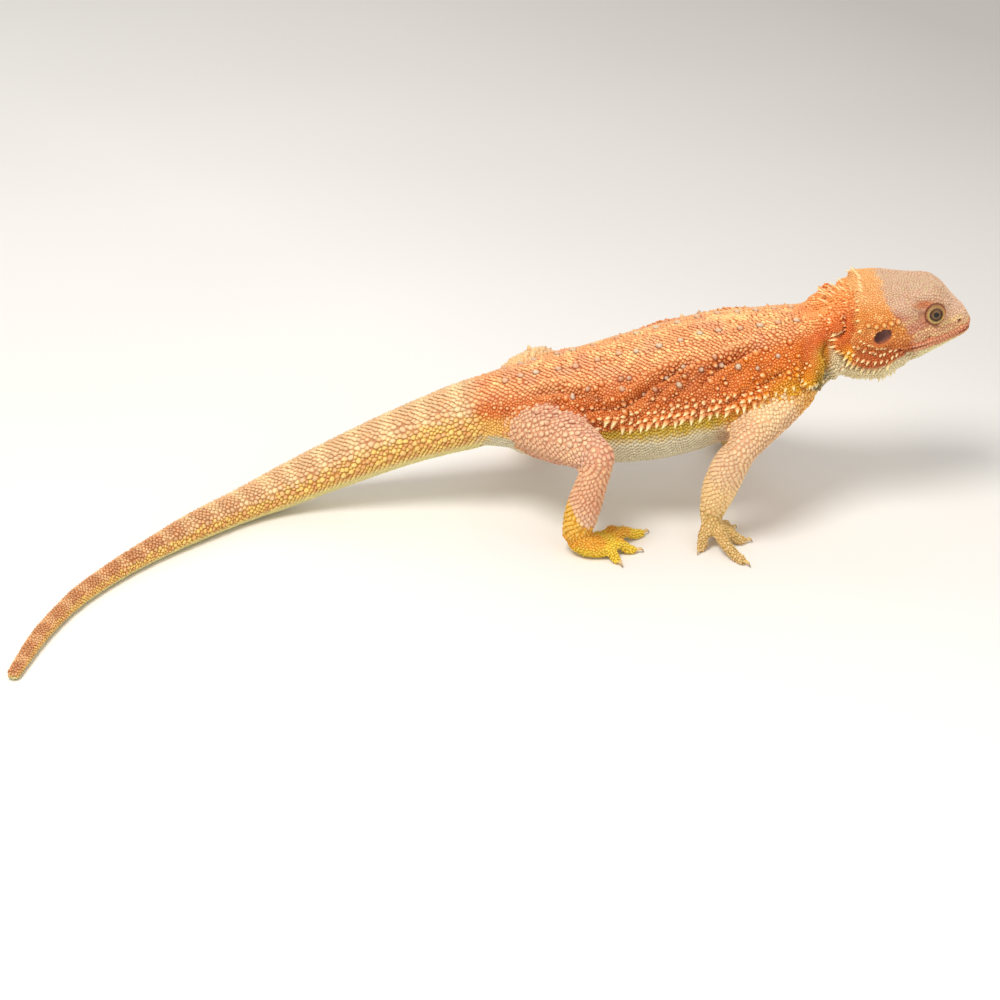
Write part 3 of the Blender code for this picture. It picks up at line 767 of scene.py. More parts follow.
def throat(points, draw):
    """How much of each point is the pale skin under the jowl and beard."""
    edge = np.interp(points[:, 0], FLAP[:, 0], FLAP[:, 1]) + 0.4 * draw
    return smooth(130, 132.5, points[:, 0]) * (1 - smooth(edge - 1.4, edge + 0.4, points[:, 2]))


def trunk_marking(points, draw):
    angle = TRUNK_PATH.around(points)[2]
    x, z = points[:, 0], points[:, 2]
    streak = noise(points * (0.55, 1.0, 1.0), 3.2, 1) + 0.6 * draw
    colour = blend(ORANGE, GOLD, smooth(0.1, 0.8, streak) * (1 - smooth(34, 60, angle)) * 0.85)
    pink = smooth(0.1, 0.7, noise(points, 7, 2)) * 0.6 * (1 - smooth(50, 80, angle))
    colour = blend(colour, PINK_ORANGE, pink)
    flank = blend(DEEP_ORANGE, RUST, smooth(0.0, 0.8, noise(points, 6, 4)) * 0.4)
    flank = blend(flank, ORANGE, smooth(0.25, 0.9, draw) * 0.5)
    colour = blend(colour, flank, smooth(34, 66, angle))
    colour = blend(colour, GOLD, smooth(0.8, 0.97, draw) * 0.5)
    edge = 93.5 + 1.5 * noise(points, 4, 5) + 1.5 * draw
    colour = blend(colour, OLIVE, smooth(edge - 2, edge + 2, angle))
    colour = blend(colour, BELLY, smooth(edge + 5, edge + 15, angle))
    colour = blend(colour, CREAM, smooth(140, 175, angle) * 0.5)
    chest = smooth(100, 112, x) * smooth(66, 92, angle)
    colour = blend(colour, tone(248, 178, 22), chest * 0.85)
    fore = smooth(84, 98, x) * (1 - smooth(118, 126, x)) * smooth(44, 60, angle)
    colour = blend(colour, tone(242, 136, 14), fore * (1 - chest) * 0.6)
    chest = smooth(94, 106, x) * smooth(102, 114, angle)
    colour = blend(colour, BELLY, chest)
    nape = smooth(116, 130, x) * (1 - smooth(75, 100, angle))
    apricot = blend(tone(252, 164, 84), tone(238, 128, 56), smooth(28, 62, angle))
    colour = blend(colour, blend(apricot, GOLD, smooth(0.2, 1.0, streak) * 0.5), nape * 0.85)
    # the hollow between the throat and the neck: its own yellow olive, with painted shade that darkens it
    # lower down
    gullet = bell((x - 128.0) / 3.0) * smooth(62, 78, angle)
    recess_shade = blend(tone(226, 178, 46), tone(132, 114, 52), 1 - smooth(66, 78, z))
    colour = blend(colour, recess_shade, gullet * 0.9)
    colour = blend(colour, POUCH, throat(points, draw))
    rump = (1 - smooth(2, 22, x)) * smooth(70, 88, angle) * (1 - smooth(98, 112, angle))
    colour = blend(colour, blend(YELLOW, ORANGE, 0.4), rump)
    # painted shade: darker deep in the folds of the skin
    shade = fold_shade(points)[:, None] * (0.4, 0.56, 0.62)
    return colour * (1 - shade)


def tail_marking(points, draw):
    far, _, angle = TAIL_PATH.around(points)
    wobble = 1.8 * noise(points, 6, 11) + 0.9 * draw
    band = 0.5 + 0.5 * np.cos((far + wobble - 20.5) / (15.6 - 2.2 * smooth(60, 240, far)) * 2 * math.pi)
    dark = blend(TAIL_BROWN, TAIL_RUST, smooth(100, 190, far))
    pale = blend(TAIL_PALE, TAIL_ORANGE, smooth(110, 210, far) * 0.5)
    pale = blend(dark, pale, 0.85 - 0.12 * smooth(100, 150, far))
    colour = blend(dark, pale, smooth(0.5, 0.95, band))
    colour = blend(colour, TAIL_ORANGE, smooth(0.5, 0.95, draw) * 0.3)
    side = blend(TAIL_SIDE_YELLOW, TAIL_ORANGE, smooth(-0.1, 0.6, -draw) * 0.75)
    colour = blend(colour, side, smooth(54, 80, angle + 8 * draw) * (1 - 0.3 * smooth(190, 250, far)))
    return blend(colour, TAIL_UNDER, smooth(104, 128, angle))


def body_marking(points, draw):
    """The trunk's marking, which gives way to the tail's behind the hips."""
    edge = -8.0 + 0.22 * (50 - points[:, 2]) + 2.2 * noise(points, 4, 12) + 2.0 * draw
    share = smooth(edge - 5, edge + 4, points[:, 0])
    colour = tail_marking(points, draw)
    ahead = share > 0
    colour[ahead] = blend(colour[ahead], trunk_marking(points[ahead], draw[ahead]), share[ahead])
    return colour


def leg_marking(points, draw, place):
    far, feet = LEG_PATHS[place].nearest(points)
    colour = blend(LEG_PINK, LEG_CREAM, smooth(-0.3, 1.2, draw + 0.7 * noise(points, 6, 21)) * 0.55)
    colour = blend(colour, LEG_ROSE, smooth(0.0, 0.9, noise(points, 8, 22)) * 0.5)
    if place.startswith("fore"):
        colour = blend(colour, LEG_CREAM, 0.5)
        above = smooth(-2, 5, points[:, 2] - feet[:, 2]) * (1 - smooth(22, 34, far))
        colour = blend(colour, tone(255, 228, 178), above * 0.7)
        colour = blend(blend(YELLOW, ORANGE, 0.5), colour, smooth(4, 14, far + 2 * draw))
        return blend(colour, tone(246, 210, 142), smooth(46, 62, far) * 0.75)
    behind = smooth(0, 6, feet[:, 0] - points[:, 0]) * (1 - smooth(30, 46, far))
    colour = blend(colour, LEG_CREAM, behind * 0.4)
    colour = blend(colour, LEG_ROSE, 0.4 * (1 - smooth(26, 36, far)))
    by_body = 1 - smooth(16.5, 20.0, np.abs(points[:, 1]) + 0.8 * draw)
    colour = blend(colour, blend(DEEP_ORANGE, GOLD, 0.4), by_body * 0.85)
    colour = blend(colour, tone(226, 160, 112), smooth(40, 50, far) * (1 - smooth(64, 74, far)) * 0.5)
    if place == "hind_left":
        knee = smooth(0, 8, points[:, 2] - feet[:, 2]) * (1 - smooth(50, 66, far)) * 0.8
        colour = blend(colour, blend(GOLD, ORANGE, 0.3), knee)
    cuff = 1 - smooth(15.0, 18.0, points[:, 2] + 1.25 * (points[:, 0] - feet[:, 0]) + 0.6 * draw)
    return blend(colour, blend(FOOT_YELLOW, FOOT_ORANGE, 0.55), cuff)


def foot_marking(points, draw, place):
    if place.startswith("fore"):
        return blend(HAND_TAN, LEG_CREAM, smooth(-0.6, 0.9, draw) * 0.6)
    orange = smooth(-0.2, 0.7, noise(points, 5, 31) + 0.25 * (points[:, 2] - 5) + 0.3 * draw)
    return blend(FOOT_YELLOW, FOOT_ORANGE, orange * 0.7)


LID_RINGS = (  # degrees from the eye's axis, colour
    (32.0, tone(34, 20, 14)),
    (34.5, tone(146, 112, 62)),
    (38.0, tone(198, 172, 104)),
    (46.0, tone(196, 160, 98)),
    (51.0, tone(190, 126, 80)),
    # painted shade in the fold of the lids
    (56.0, tone(140, 74, 46)),
    (60.0, tone(96, 46, 32)),
    (64.0, tone(154, 88, 62)),
    (68.0, tone(206, 140, 104)),
)


def lid_marking(sided):
    """The lids: olive yellow by the eye, orange in front, with painted shade in the dark fold round them and
    on the upper lid.
    """
    away = sided - EYE_CENTRE
    angle = np.degrees(np.arccos(np.clip(unit(away) @ EYE_AXIS, -1, 1)))
    around = np.arctan2(away[:, 2], away[:, 0])
    shifted = angle - 4.5 * np.cos(around + 0.7) * smooth(40, 52, angle) + 1.6 * noise(sided, 1.4, 46)
    shades = [np.interp(shifted, [a for a, _ in LID_RINGS], [c[k] for _, c in LID_RINGS]) for k in range(3)]
    ring = np.stack(shades, axis=1)
    front = smooth(0.2, 1.0, np.cos(around - 0.2)) * smooth(36, 42, angle) * (1 - smooth(53, 57, shifted))
    ring = blend(ring, tone(222, 128, 66), front * 0.75)
    # painted shade: the upper part of the lids darker
    ring = blend(ring, tone(146, 98, 62), smooth(0.2, 0.95, np.sin(around)) * 0.55)
    return ring, (np.linalg.norm(away, axis=1) < 8.5) * (1 - smooth(63, 71, shifted))


def head_marking(points, draw):
    x, z = points[:, 0], points[:, 2]
    sided = one_side(points)
    out = sided[:, 1]
    patch = noise(points, 4.5, 40)
    speck = smooth(-0.1, 0.8, 0.8 * draw + 0.7 * noise(points, 1.6, 41) + 0.3 * patch)
    crown = blend(CROWN, CROWN_SPECK, speck * 0.75)
    crown = blend(crown, LEG_ROSE, smooth(0.1, 0.8, patch) * 0.25)
    crown = blend(crown, SNOUT, smooth(174, 184, x))
    cheek = blend(CHEEK, STRIPE, smooth(0.3, 0.8, noise(points * (0.4, 1, 1.6), 2.4, 42)) * 0.6)
    cheek = blend(cheek, LEG_ROSE, smooth(83, 88, z) * smooth(156, 162, x) * 0.5)
    colour = blend(cheek, crown, smooth(91.5, 95.5, z + 0.25 * (x - 164)))
    lore = bell((z - 88.6 - 0.12 * (x - 178)) / 1.3) * smooth(168, 174, x) * (1 - smooth(184, 187, x))
    colour = blend(colour, STRIPE, lore * 0.85)
    brow = bell((x - 168.6) / 4.4) * bell((z - 96.6 + 0.1 * (x - 169)) / 1.4) * smooth(6, 9, out)
    colour = blend(colour, BROW_BROWN, np.minimum(brow * 1.3, 0.75))
    under = bell((z - 86.6 - 0.2 * (x - 172)) / 1.0) * smooth(160, 165, x) * (1 - smooth(179, 183, x))
    colour = blend(colour, STRIPE, under * 0.7)
    behind = bell((z - 91.0 - 0.18 * (x - 160)) / 1.2) * smooth(155, 158, x) * (1 - smooth(165, 168, x))
    colour = blend(colour, STRIPE, behind * 0.55)
    above = z - mouth_height(x)
    lip = bell((above - 1.2) / 1.6)
    colour = blend(colour, LIP_PINK, lip * smooth(158, 164, x) * 0.9)
    stripe = bell((above - 3.6) / 0.9) * smooth(162, 168, x)
    colour = blend(colour, STRIPE, stripe * 0.75)
    jaw = blend(LIP_PINK, CHIN, smooth(0.6, 2.8, -above))
    colour = blend(colour, jaw, smooth(-0.1, 0.3, -above) * smooth(157, 161, x))
    edge = np.interp(z, (74, 84, 88, 93, 98, 104), (166, 163, 161, 156.5, 153, 150.5))
    edge = edge + 1.4 * noise(points, 3, 43) + 1.1 * draw
    back = (1 - smooth(edge - 1.5, edge + 2.0, x)) * smooth(68, 74, z)
    rear = blend(HEAD_ORANGE, GOLD, smooth(0.3, 1.0, 0.8 * draw + 0.6 * noise(points, 3, 44)) * 0.7)
    rear = blend(rear, tone(194, 92, 36), (1 - smooth(77, 92, z)) * (0.42 + 0.5 * smooth(137, 147, x)))
    rear = blend(rear, tone(246, 196, 136), smooth(95, 101, z) * 0.5)
    colour = blend(colour, rear, back)
    colour = blend(colour, blend(POUCH, CREAM, 0.3), throat(points, draw) * (1 - smooth(166, 172, x)))
    ring, near = lid_marking(sided)
    colour = blend(colour, ring, near)
    # painted shade: darker deep in the folds of the skin
    return colour * (1 - fold_shade(points)[:, None] * (0.35, 0.45, 0.5))


def marking(points, owner, draw):
    """The colour of the animal at each point; draw is a random value of its own from -1 to 1."""
    colour = np.zeros((len(points), 3))
    rules = (head_marking, body_marking, body_marking, leg_marking, foot_marking)
    for chosen, rule, leg in by_area(owner, rules):
        if chosen.any():
            colour[chosen] = rule(points[chosen], draw[chosen], *leg)
    return colour


# ---------------------------------------------------------------- rooting the scales

special, spines = Roots(), Roots()
BACK = (-1.0, 0.0, 0.0)  # the way that most scales lie


def taper(far):
    """Size of the tail's scales at a distance along it."""
    return 1.0 - 0.42 * smooth(50, 260, far)


def trunk_gap(x, angle):
    """Space between the trunk's scales: large on the back, fine on the flank and neck."""
    gap = 1.55 - 0.55 * smooth(44, 62, angle) + 0.28 * smooth(90, 104, angle)
    return gap - 0.3 * smooth(117, 124, x) * (1 - smooth(88, 104, angle))


def trunk_habit(points):
    _, along, angle = TRUNK_PATH.around(points)
    flank, belly = smooth(44, 62, angle), smooth(92, 104, angle)
    rise = 0.44 - 0.04 * flank - 0.2 * belly
    keel = 0.36 * (1 - flank) + 0.08 * (1 - belly)
    lap = 0.36 - 0.28 * flank + 0.2 * belly
    crest = (0.45 - 0.2 * flank - 0.1 * belly) * (1 - 0.7 * smooth(114, 122, points[:, 0]))
    return trunk_gap(points[:, 0], angle), -along, rise, keel, lap, crest


def tail_gap(far, angle):
    return (1.8 - 0.35 * smooth(55, 75, angle) + 0.1 * smooth(100, 120, angle)) * taper(far)


def tail_habit(points):
    far, along, angle = TAIL_PATH.around(points)
    under = smooth(104, 130, angle)
    size = taper(far)
    return tail_gap(far, angle), along, size * (0.5 - 0.16 * under), size * (0.5 - 0.4 * under), 0.42, 0.2


def leg_habit(points, place):
    far, feet = LEG_PATHS[place].nearest(points)
    outer = unit(points - feet)[:, 1] * (1 if place.endswith("left") else -1)
    inner = smooth(0.1, 0.8, -outer)
    gap = (1.8 if place.startswith("hind") else 1.65) - 0.4 * inner
    return gap, LEG_PATHS[place].along(far), 0.34 - 0.1 * inner, 0.16 - 0.1 * inner, 0.32, 0.3


def foot_habit(points, place):
    end = LEG_PATHS[place].at(LEG_PATHS[place].length)
    along = (points - end) * (1, 1, 0) + (0.02, 0, 0)
    along[:, 2] = -np.clip(points[:, 2] - 7, 0, 8)
    return 1.05 + 0.5 * smooth(8, 15, points[:, 2]), unit(along), 0.34, 0.16, 0.36, 0.2


def head_habit(points):
    x, z = points[:, 0], points[:, 2]
    beard = (1 - smooth(73, 79, z)) * (1 - smooth(158, 164, x))
    crown = smooth(89, 94, z + 0.25 * (x - 164))
    rear = 1 - smooth(150, 162, x)
    gap = 1.1 - 0.06 * smooth(176, 184, x) - 0.08 * crown * smooth(150, 158, x)
    gap = gap - 0.28 * rear * (1 - 0.5 * beard)
    lie = unit(np.stack((-1 + 0 * x, 0 * x, -0.7 * beard), axis=1))
    rise = 0.32 - 0.12 * crown + 0.04 * rear
    keel, lap = 0.06 + 0.3 * rear + 0.2 * beard, 0.06 + 0.24 * np.maximum(rear, beard)
    return gap, lie, rise, keel, lap, 0.05 + 0.12 * rear


def habit(points, owner):
    """(space, lie, form) of the plain scales at the points."""
    gap, lie, form = np.ones(len(points)), np.tile(BACK, (len(points), 1)), np.zeros((len(points), 4))
    for chosen, rule, leg in by_area(owner, (head_habit, trunk_habit, tail_habit, leg_habit, foot_habit)):
        if chosen.any():
            gap[chosen], lie[chosen], *columns = rule(points[chosen], *leg)
            for k, column in enumerate(columns):
                form[chosen, k] = column
    return gap, lie, form


def trunk_place(x, angle, side):
    """The place on the trunk's skin at x, that many degrees round from the top line."""
    centre = np.array((x, 0, np.interp(x, TRUNK_LINE[:, 0], TRUNK_LINE[:, 2])))
    out = Vector((0, side * math.sin(math.radians(angle)), math.cos(math.radians(angle))))
    return hit_on_skin(centre, out, 60, centre)


def tail_place(far, angle, side):
    centre, along = TAIL_PATH.at(far), TAIL_PATH.along(far)
    top = unit(np.array((0, 0, 1.0)) - along * along[2])
    out = top * math.cos(math.radians(angle)) + np.cross(along, top) * -side * math.sin(math.radians(angle))
    return hit_on_skin(centre, out, 30, centre)


# Scales that stand out. A form is (rise, keel, lap, how pale the crest is, 2 for grey).
BACK_ROW = (2, 9, 15, 23, 31, 39, 48, 55.5, 64, 72, 80, 88, 96, 104, 112, 119)
HEAD_KNOBS = (
    # half width, form, places
    (
        1.35,
        (1.7, 0.1, 0.1, 0.6),
        ((145.4, 20.6, 91.3), (148.6, 21, 90.9), (151.6, 20.8, 91.4), (154.4, 20.2, 92), (157.2, 19.4, 92.5)),
    ),
    (1.0, (1.2, 0.1, 0.1, 0.5), ((141.8, 21, 82), (144.8, 21.6, 81), (148, 21.6, 80.2))),
)
LOOSE_KNOBS = (
    # so many, between these two corners, of these half widths, form
    (12, (141, 4, 89), (149, 21, 103), (0.5, 0.65), (0.6, 0.3, 0.3, 0.5)),
    (18, (130, 13, 86), (137, 18, 93), (0.55, 0.85), (1.1, 0.3, 0.2, 0.7)),
    (24, (120, 20, 67), (128, 25, 76), (0.7, 1.0), (1.1, 0.3, 0.2, 1.0)),
)


def root_back(draw, side):
    """A row of grey knobs along the back, and smaller pale ones about it."""
    for x in BACK_ROW:
        place = trunk_place(x + draw.uniform(-0.8, 0.8), 20 + draw.uniform(-2, 2), side)
        special.add(place, draw.uniform(1.3, 1.5), BACK, (1.0, 0.25, 0.25, 2.0))
    for x in np.arange(6, 120, 6.3):
        for angle in (9, 31, 41):
            if draw.random() < 0.5:
                place = trunk_place(x + draw.uniform(-2.5, 2.5), angle + draw.uniform(-4, 4), side)
                special.add(place, draw.uniform(0.8, 1.0), BACK, (0.62, 0.3, 0.3, 0.7))


def root_flank(draw, side):
    """Knobs of four sizes in slanting rows on the flank, and a row by the hip."""
    for x in np.arange(8, 120, 3.1):
        for angle in np.arange(50, 89, 5.5):
            lean = x + (86 - angle) * 0.5 + draw.uniform(-1.0, 1.0)
            if lean > 119 or draw.random() < 0.3:
                continue
            place = trunk_place(lean, angle + draw.uniform(-1.8, 1.8), side)
            size = draw.choice((0.7, 0.9, 1.15, 1.4), p=(0.22, 0.28, 0.32, 0.18))
            pale = 2.0 if size > 1.0 and angle < 72 and draw.random() < 0.35 else draw.uniform(0.6, 1.1)
            special.add(place, size, BACK, (size * 1.15, 0.3, 0.15, pale))
    for x in np.arange(-2, 28, 2.6):
        special.add(trunk_place(x, 64 + 0.35 * x, side), 0.95, BACK, (1.0, 0.2, 0.2, 1.0))


def root_tail(draw, side):
    """Larger scales along the side of the tail."""
    far = 14.0
    while far < 190:
        for angle in (54, 64, 75, 86, 96):
            if draw.random() < 0.8:
                size = 1.12 * float(taper(far)) * draw.uniform(0.8, 1.1)
                place = tail_place(far + draw.uniform(-0.8, 0.8), angle + draw.uniform(-3, 3), side)
                form = size * 0.5, 0.35, 0.5, draw.uniform(0.15, 0.5)
                special.add(place, size, TAIL_PATH.along(far), form)
        far += 3.1 * float(taper(far))


def root_lips(side):
    for gap, size, rise in ((0.85, 0.72, 0.26), (-0.95, 0.78, 0.28)):
        for x in np.arange(159.2, 190.2, 1.45):
            height = float(mouth_height(x)) + gap * (1.0 + 0.3 * float(1 - smooth(166, 174, x)))
            hit = hit_on_skin((x - 6, 0, height), Vector((0.35, side, 0)).normalized(), 40)
            if hit is not None:
                special.add(hit, size, BACK, (rise, 0.0, 0.0, 0.2))


def root_head(draw, side):
    """The knobs over the ear and on the jowl, and loose ones on the nape, the neck and the shoulder."""
    for size, form, knobs in HEAD_KNOBS:
        for knob in knobs:
            special.add(np.array(knob) * (1, side, 1), size, BACK, form)
    for count, low, high, sizes, form in LOOSE_KNOBS:
        for _ in range(count):
            place = np.array([draw.uniform(*ends) for ends in zip(low, high)]) * (1, side, 1)
            special.add(place, draw.uniform(*sizes), BACK, form)


def root_lids(side):
    """Three rings of fine scales on the lids."""
    flip = np.array((1, side, 1))
    first = unit(np.cross(EYE_AXIS, (0, 0, 1)))
    second = np.cross(EYE_AXIS, first)
    for angle, gap in ((38.0, 0.5), (44.0, 0.6), (50.0, 0.6)):
        radius = math.radians(angle)
        count = round(2 * math.pi * math.sin(radius) * 5.0 / gap)
        for k in range(count):
            turn = 2 * math.pi * (k + 0.5 * (angle > 45)) / count
            out = EYE_AXIS * math.cos(radius)
            out = out + (first * math.cos(turn) + second * math.sin(turn)) * math.sin(radius)
            hit = hit_on_skin((EYE_CENTRE + out * 14) * flip, -out * flip, 14)
            if hit is not None:
                special.add(hit, gap * 0.52, BACK, (gap * 0.4, 0.0, 0.0, 0.3))


def root_thigh(draw, place):
    """Large pale scales on the outside of a thigh."""
    side, line = 1 if place.endswith("left") else -1, LEG_PATHS[place]
    for far in np.arange(10, 38, 3.6):
        for angle in (-62, -38, -14, 10, 34):
            turn = math.radians(angle + draw.uniform(-6, 6))
            low, high = math.cos(turn), math.sin(turn)
            out = Vector((-0.7 * high - 0.35, side * low * 0.75, 0.6 - 0.3 * high)).normalized()
            hit = hit_on_skin(line.at(far + draw.uniform(-1, 1)), out, 30)
            if hit is not None and draw.random() < 0.75:
                size = draw.uniform(1.1, 1.5)
                special.add(hit, size, line.along(far), (size * 0.42, 0.25, 0.55, draw.uniform(0.5, 0.9)))


def root_special():
    draw = np.random.default_rng(5)
    for side in (-1, 1):
        root_back(draw, side)
        root_flank(draw, side)
        root_tail(draw, side)
    for side in (-1, 1):
        root_lips(side)
        root_head(draw, side)
        root_lids(side)
    for place in HIND:
        root_thigh(draw, place)


def root_rows():
    """Places of the rows of scales of the trunk, tail and legs."""
    trunk = row_places(
        TRUNK_PATH, 4.0, 175.0, lambda far: 1.42, lambda far, angle: trunk_gap(far - 18, angle)
    )
    last = TAIL_PATH.length + 2
    tail = row_places(TAIL_PATH, 2.0, last, lambda far: 1.72 * float(taper(far)), tail_gap)
    areas = [(TRUNK, trunk), (TAIL, tail)]
    for place, line in LEG_PATHS.items():
        step = 1.75 if place in HIND else 1.6
        last = line.length + 3
        rows = row_places(
            line, 3.0, last, lambda far: step, lambda far, angle: step + 0 * angle, (-1, 0, 0.2)
        )
        areas.append((parts_of(place)[:2], rows))
    places, _, owner = skin.settle(np.concatenate([rows for _, rows in areas]))
    own = np.concatenate([np.full(len(rows), k) for k, (_, rows) in enumerate(areas)])
    stays = np.zeros(len(places), bool)
    for k, (nodes, _) in enumerate(areas):
        stays |= (own == k) & of(owner, nodes)
    return places[stays]


def bare(points):
    """Where no plain scales grow: the ears, eyes, nostrils and the line of the mouth."""
    sided = one_side(points)
    away = sided - EYE_CENTRE
    lid = np.degrees(np.arccos(np.clip(unit(away) @ EYE_AXIS, -1, 1)))
    gone = (ear_distance(sided) < 1.12) | ((lid < 64) & (np.linalg.norm(away, axis=1) < 8.0))
    gone |= np.linalg.norm(sided - NOSTRIL, axis=1) < 1.0
    return gone | ((np.abs(points[:, 2] - mouth_height(points[:, 0])) < 0.55) & (points[:, 0] > 157.5))


SPINE_ROWS = (
    # along this line, so many, length, half width, how far they stand out, lean back, hang down
    (
        ((31.7, 34.9, 54), (47.9, 30.4, 51), (59.6, 32.5, 53), (71.3, 34.2, 56.6), (87, 34.1, 59.2),
         (103.9, 29.7, 63.2)),
        22, 4, 1.4, 0.65, 0.1, 0.8,
    ),
    (
        ((33, 34.5, 56), (48, 32, 53.4), (60, 33.5, 55.4), (72, 34.5, 59.2), (88, 34, 61.8),
         (105, 29.4, 65.8)),
        24, 2.8, 1.35, 0.8, 0.3, 0.45,
    ),
    (
        ((36, 33, 59), (50, 32, 56.4), (62, 33, 58.6), (74, 34, 62), (90, 33, 64.6),
         (106, 28.6, 68.6)),
        23, 2, 1.2, 0.9, 0.35, 0.2,
    ),
    (((106, 30, 64.5), (112, 28.6, 66), (118, 26.6, 67.4)), 4, 2.6, 1.1, 0.7, 0.3, 0.5),
    (((126.5, 1.2, 96.2), (131, 1.6, 98.4), (137, 2.4, 100.6)), 6, 5, 0.85, 0.8, 0.5, -0.3),
    (((126.5, 9, 94), (131, 10, 96), (136.5, 11.5, 97)), 3, 1.8, 0.75, 0.8, 0.6, -0.1),
    (((144, 1.5, 103.4), (143.6, 6, 102.8), (143.2, 11, 101)), 5, 2.2, 0.85, 0.7, 0.7, -0.3),
    (((142.6, 14.5, 98.8), (142.2, 18.4, 94.4), (142, 20.6, 89)), 4, 1.8, 0.9, 0.8, 0.6, 0),
    (((131.6, 15.6, 90.6), (133.4, 16.6, 87.6), (135, 16.8, 90)), 7, 1.9, 0.85, 0.9, 0.5, 0),
    (
        ((134.6, 17.8, 86), (133.4, 18.6, 83.4), (133.8, 18.8, 80.4), (136, 19, 78)),
        5, 4, 0.95, 0.5, 1, 0,
    ),
    (
        ((137.6, 19.2, 76.8), (140, 18.8, 74.6), (145, 19, 73), (150, 19.2, 73.6), (156, 18.2, 76)),
        10, 4.1, 1.15, 0.6, 0.4, 0.85,
    ),
    (
        ((138.4, 20.6, 79.4), (143, 21, 76.8), (148, 21, 76), (153, 20, 76.8), (158, 18.4, 78.2)),
        10, 2.1, 1, 0.9, 0.5, 0.5,
    ),
    (
        ((140.5, 21.6, 82), (146, 22.2, 79.6), (151, 22, 79.2), (157, 19.6, 80.4)),
        9, 1.4, 0.95, 0.9, 0.5, 0.4,
    ),
    (((142.5, 21.6, 84.4), (148, 22.2, 82), (153, 21.4, 81.6)), 7, 1, 0.85, 0.9, 0.5, 0.3),
    (((152.5, 12.6, 67), (156, 9.5, 67), (158.6, 6, 68)), 7, 2.8, 0.85, 0.5, 0.25, 1),
    (((150, 10, 64.6), (155, 5, 65.4)), 5, 2.3, 0.8, 0.5, 0.35, 1),
    (((142, 14, 65.6), (147, 12, 64.4), (152, 8, 64.4)), 6, 2, 0.8, 0.7, 0.4, 0.8),
    (((144, 7, 62.6), (150, 3, 62.6)), 4, 1.8, 0.75, 0.7, 0.4, 0.8),
    (
        ((120.6, 25, 70), (122.6, 24.4, 67.4), (125.8, 22.4, 66.6), (127.6, 21, 68)),
        7, 2.2, 0.95, 0.8, 0.2, 0.8,
    ),
    (((160, 12, 75.4), (168, 9.6, 77), (176, 6.6, 79)), 7, 0.9, 0.8, 0.8, 0.3, 0.6),
)


def along_line(line, count):
    rows = np.array(line, float)
    run = np.concatenate(([0], np.cumsum(np.linalg.norm(np.diff(rows, axis=0), axis=1))))
    at = np.linspace(0, run[-1], count)
    return np.stack([np.interp(at, run, rows[:, k]) for k in range(3)], axis=1)


def root_spines():
    """The spines of the flanks, nape, back of the head, neck, beard and shoulders."""
    draw = np.random.default_rng(23)
    for line, count, length, half, out, back, down in SPINE_ROWS:
        for side in (-1, 1):
            places = along_line(line, count) * (1, side, 1)
            places += draw.uniform(-0.45, 0.45, places.shape)
            places, normals, _ = skin.settle(places)
            way = normals * out + np.array((-back, 0, -down)) + draw.uniform(-0.24, 0.24, places.shape)
            size = draw.uniform(0.78, 1.16, len(places))
            for place, lean, grown in zip(places, unit(way), size):
                spines.add(place, half * (0.75 + 0.25 * grown), lean, (length * grown, 0, 0, 0))


root_special()
root_spines()


def thinned(places, reaches, clash=lambda i, index, away: True):
    """Which places stay when each drops the later ones within its reach that clash with it."""
    tree = tree_of(places)
    stays = np.ones(len(places), bool)
    for i, place in enumerate(places.tolist()):
        if stays[i]:
            for _, index, away in tree.find_range(place, reaches[i]):
                if index > i and clash(i, index, away):
                    stays[index] = False
    return stays


def kept_special():
    """(places, half widths, lies, forms) of the special scales, the largest first, clear of each other."""
    rows = special.rows()
    rows = (skin.settle(rows[0])[0], *rows[1:])
    clear = ear_distance(one_side(rows[0])) > 1.3
    order = np.argsort(-rows[1][clear], kind="stable")
    rows = [row[clear][order] for row in rows]
    sizes = rows[1]
    stays = thinned(rows[0], sizes * 1.8, lambda i, index, away: away < 0.86 * (sizes[i] + sizes[index]))
    return [row[stays] for row in rows]


def grow_roots():
    """All the scales: (places, half widths, lies, forms), the special ones first."""
    places, sizes, lies, forms = kept_special()
    rows = root_rows()
    draw = np.random.default_rng(12)
    _, facing, owner = skin.settle(rows)
    loose = 0.03 + 0.17 * smooth(-0.2, 0.15, facing[:, 2:])
    loose[of(owner, LEGS)] = 0.22
    rows = skin.settle(rows + draw.normal(0, 1, rows.shape) * loose)[0]
    rows = rows[~bare(rows)]
    gap = habit(rows, skin.settle(rows)[2])[0]
    tree = tree_of(places)
    near = (tree.find_n(place, 3) for place in rows.tolist())
    room = [min(away - 0.8 * sizes[index] for _, index, away in three) for three in near]
    stays = np.array(room) > gap * 0.36
    rows, gap = rows[stays], gap[stays]
    stays = thinned(rows, gap * 0.62)
    rows, gap = rows[stays], gap[stays]

    taken = (np.concatenate((places, rows)), np.concatenate((sizes * 2, gap)))
    free = scatter(lambda points, owner: habit(points, owner)[0], taken, 7)
    plain = np.concatenate((rows, free[~bare(free)]))
    gap, lie, form = habit(plain, skin.settle(plain)[2])
    width = gap * 0.5 * draw.uniform(0.9, 1.1, len(gap))
    pairs = ((places, plain), (sizes, width), (lies, lie), (forms, form))
    return [np.concatenate(pair) for pair in pairs]


places, sizes, lies, forms = grow_roots()
places, normals, owners = skin.settle(places)

# ---------------------------------------------------------------- cutting the scales to fit

SIDES, NEIGHBOURS = 8, 12  # corners of a scale, and how many scales near it can cut it


def tangents(normals, lies):
    """(lie, side) directions in the skin at each root."""
    lie = lies - normals * np.sum(lies * normals, axis=1, keepdims=True)
    weak = np.linalg.norm(lie, axis=1) < 0.05
    lie[weak] = np.cross(normals[weak], (0.3, 1.0, 0.2))
    lie = unit(lie)
    return lie, np.cross(normals, lie)


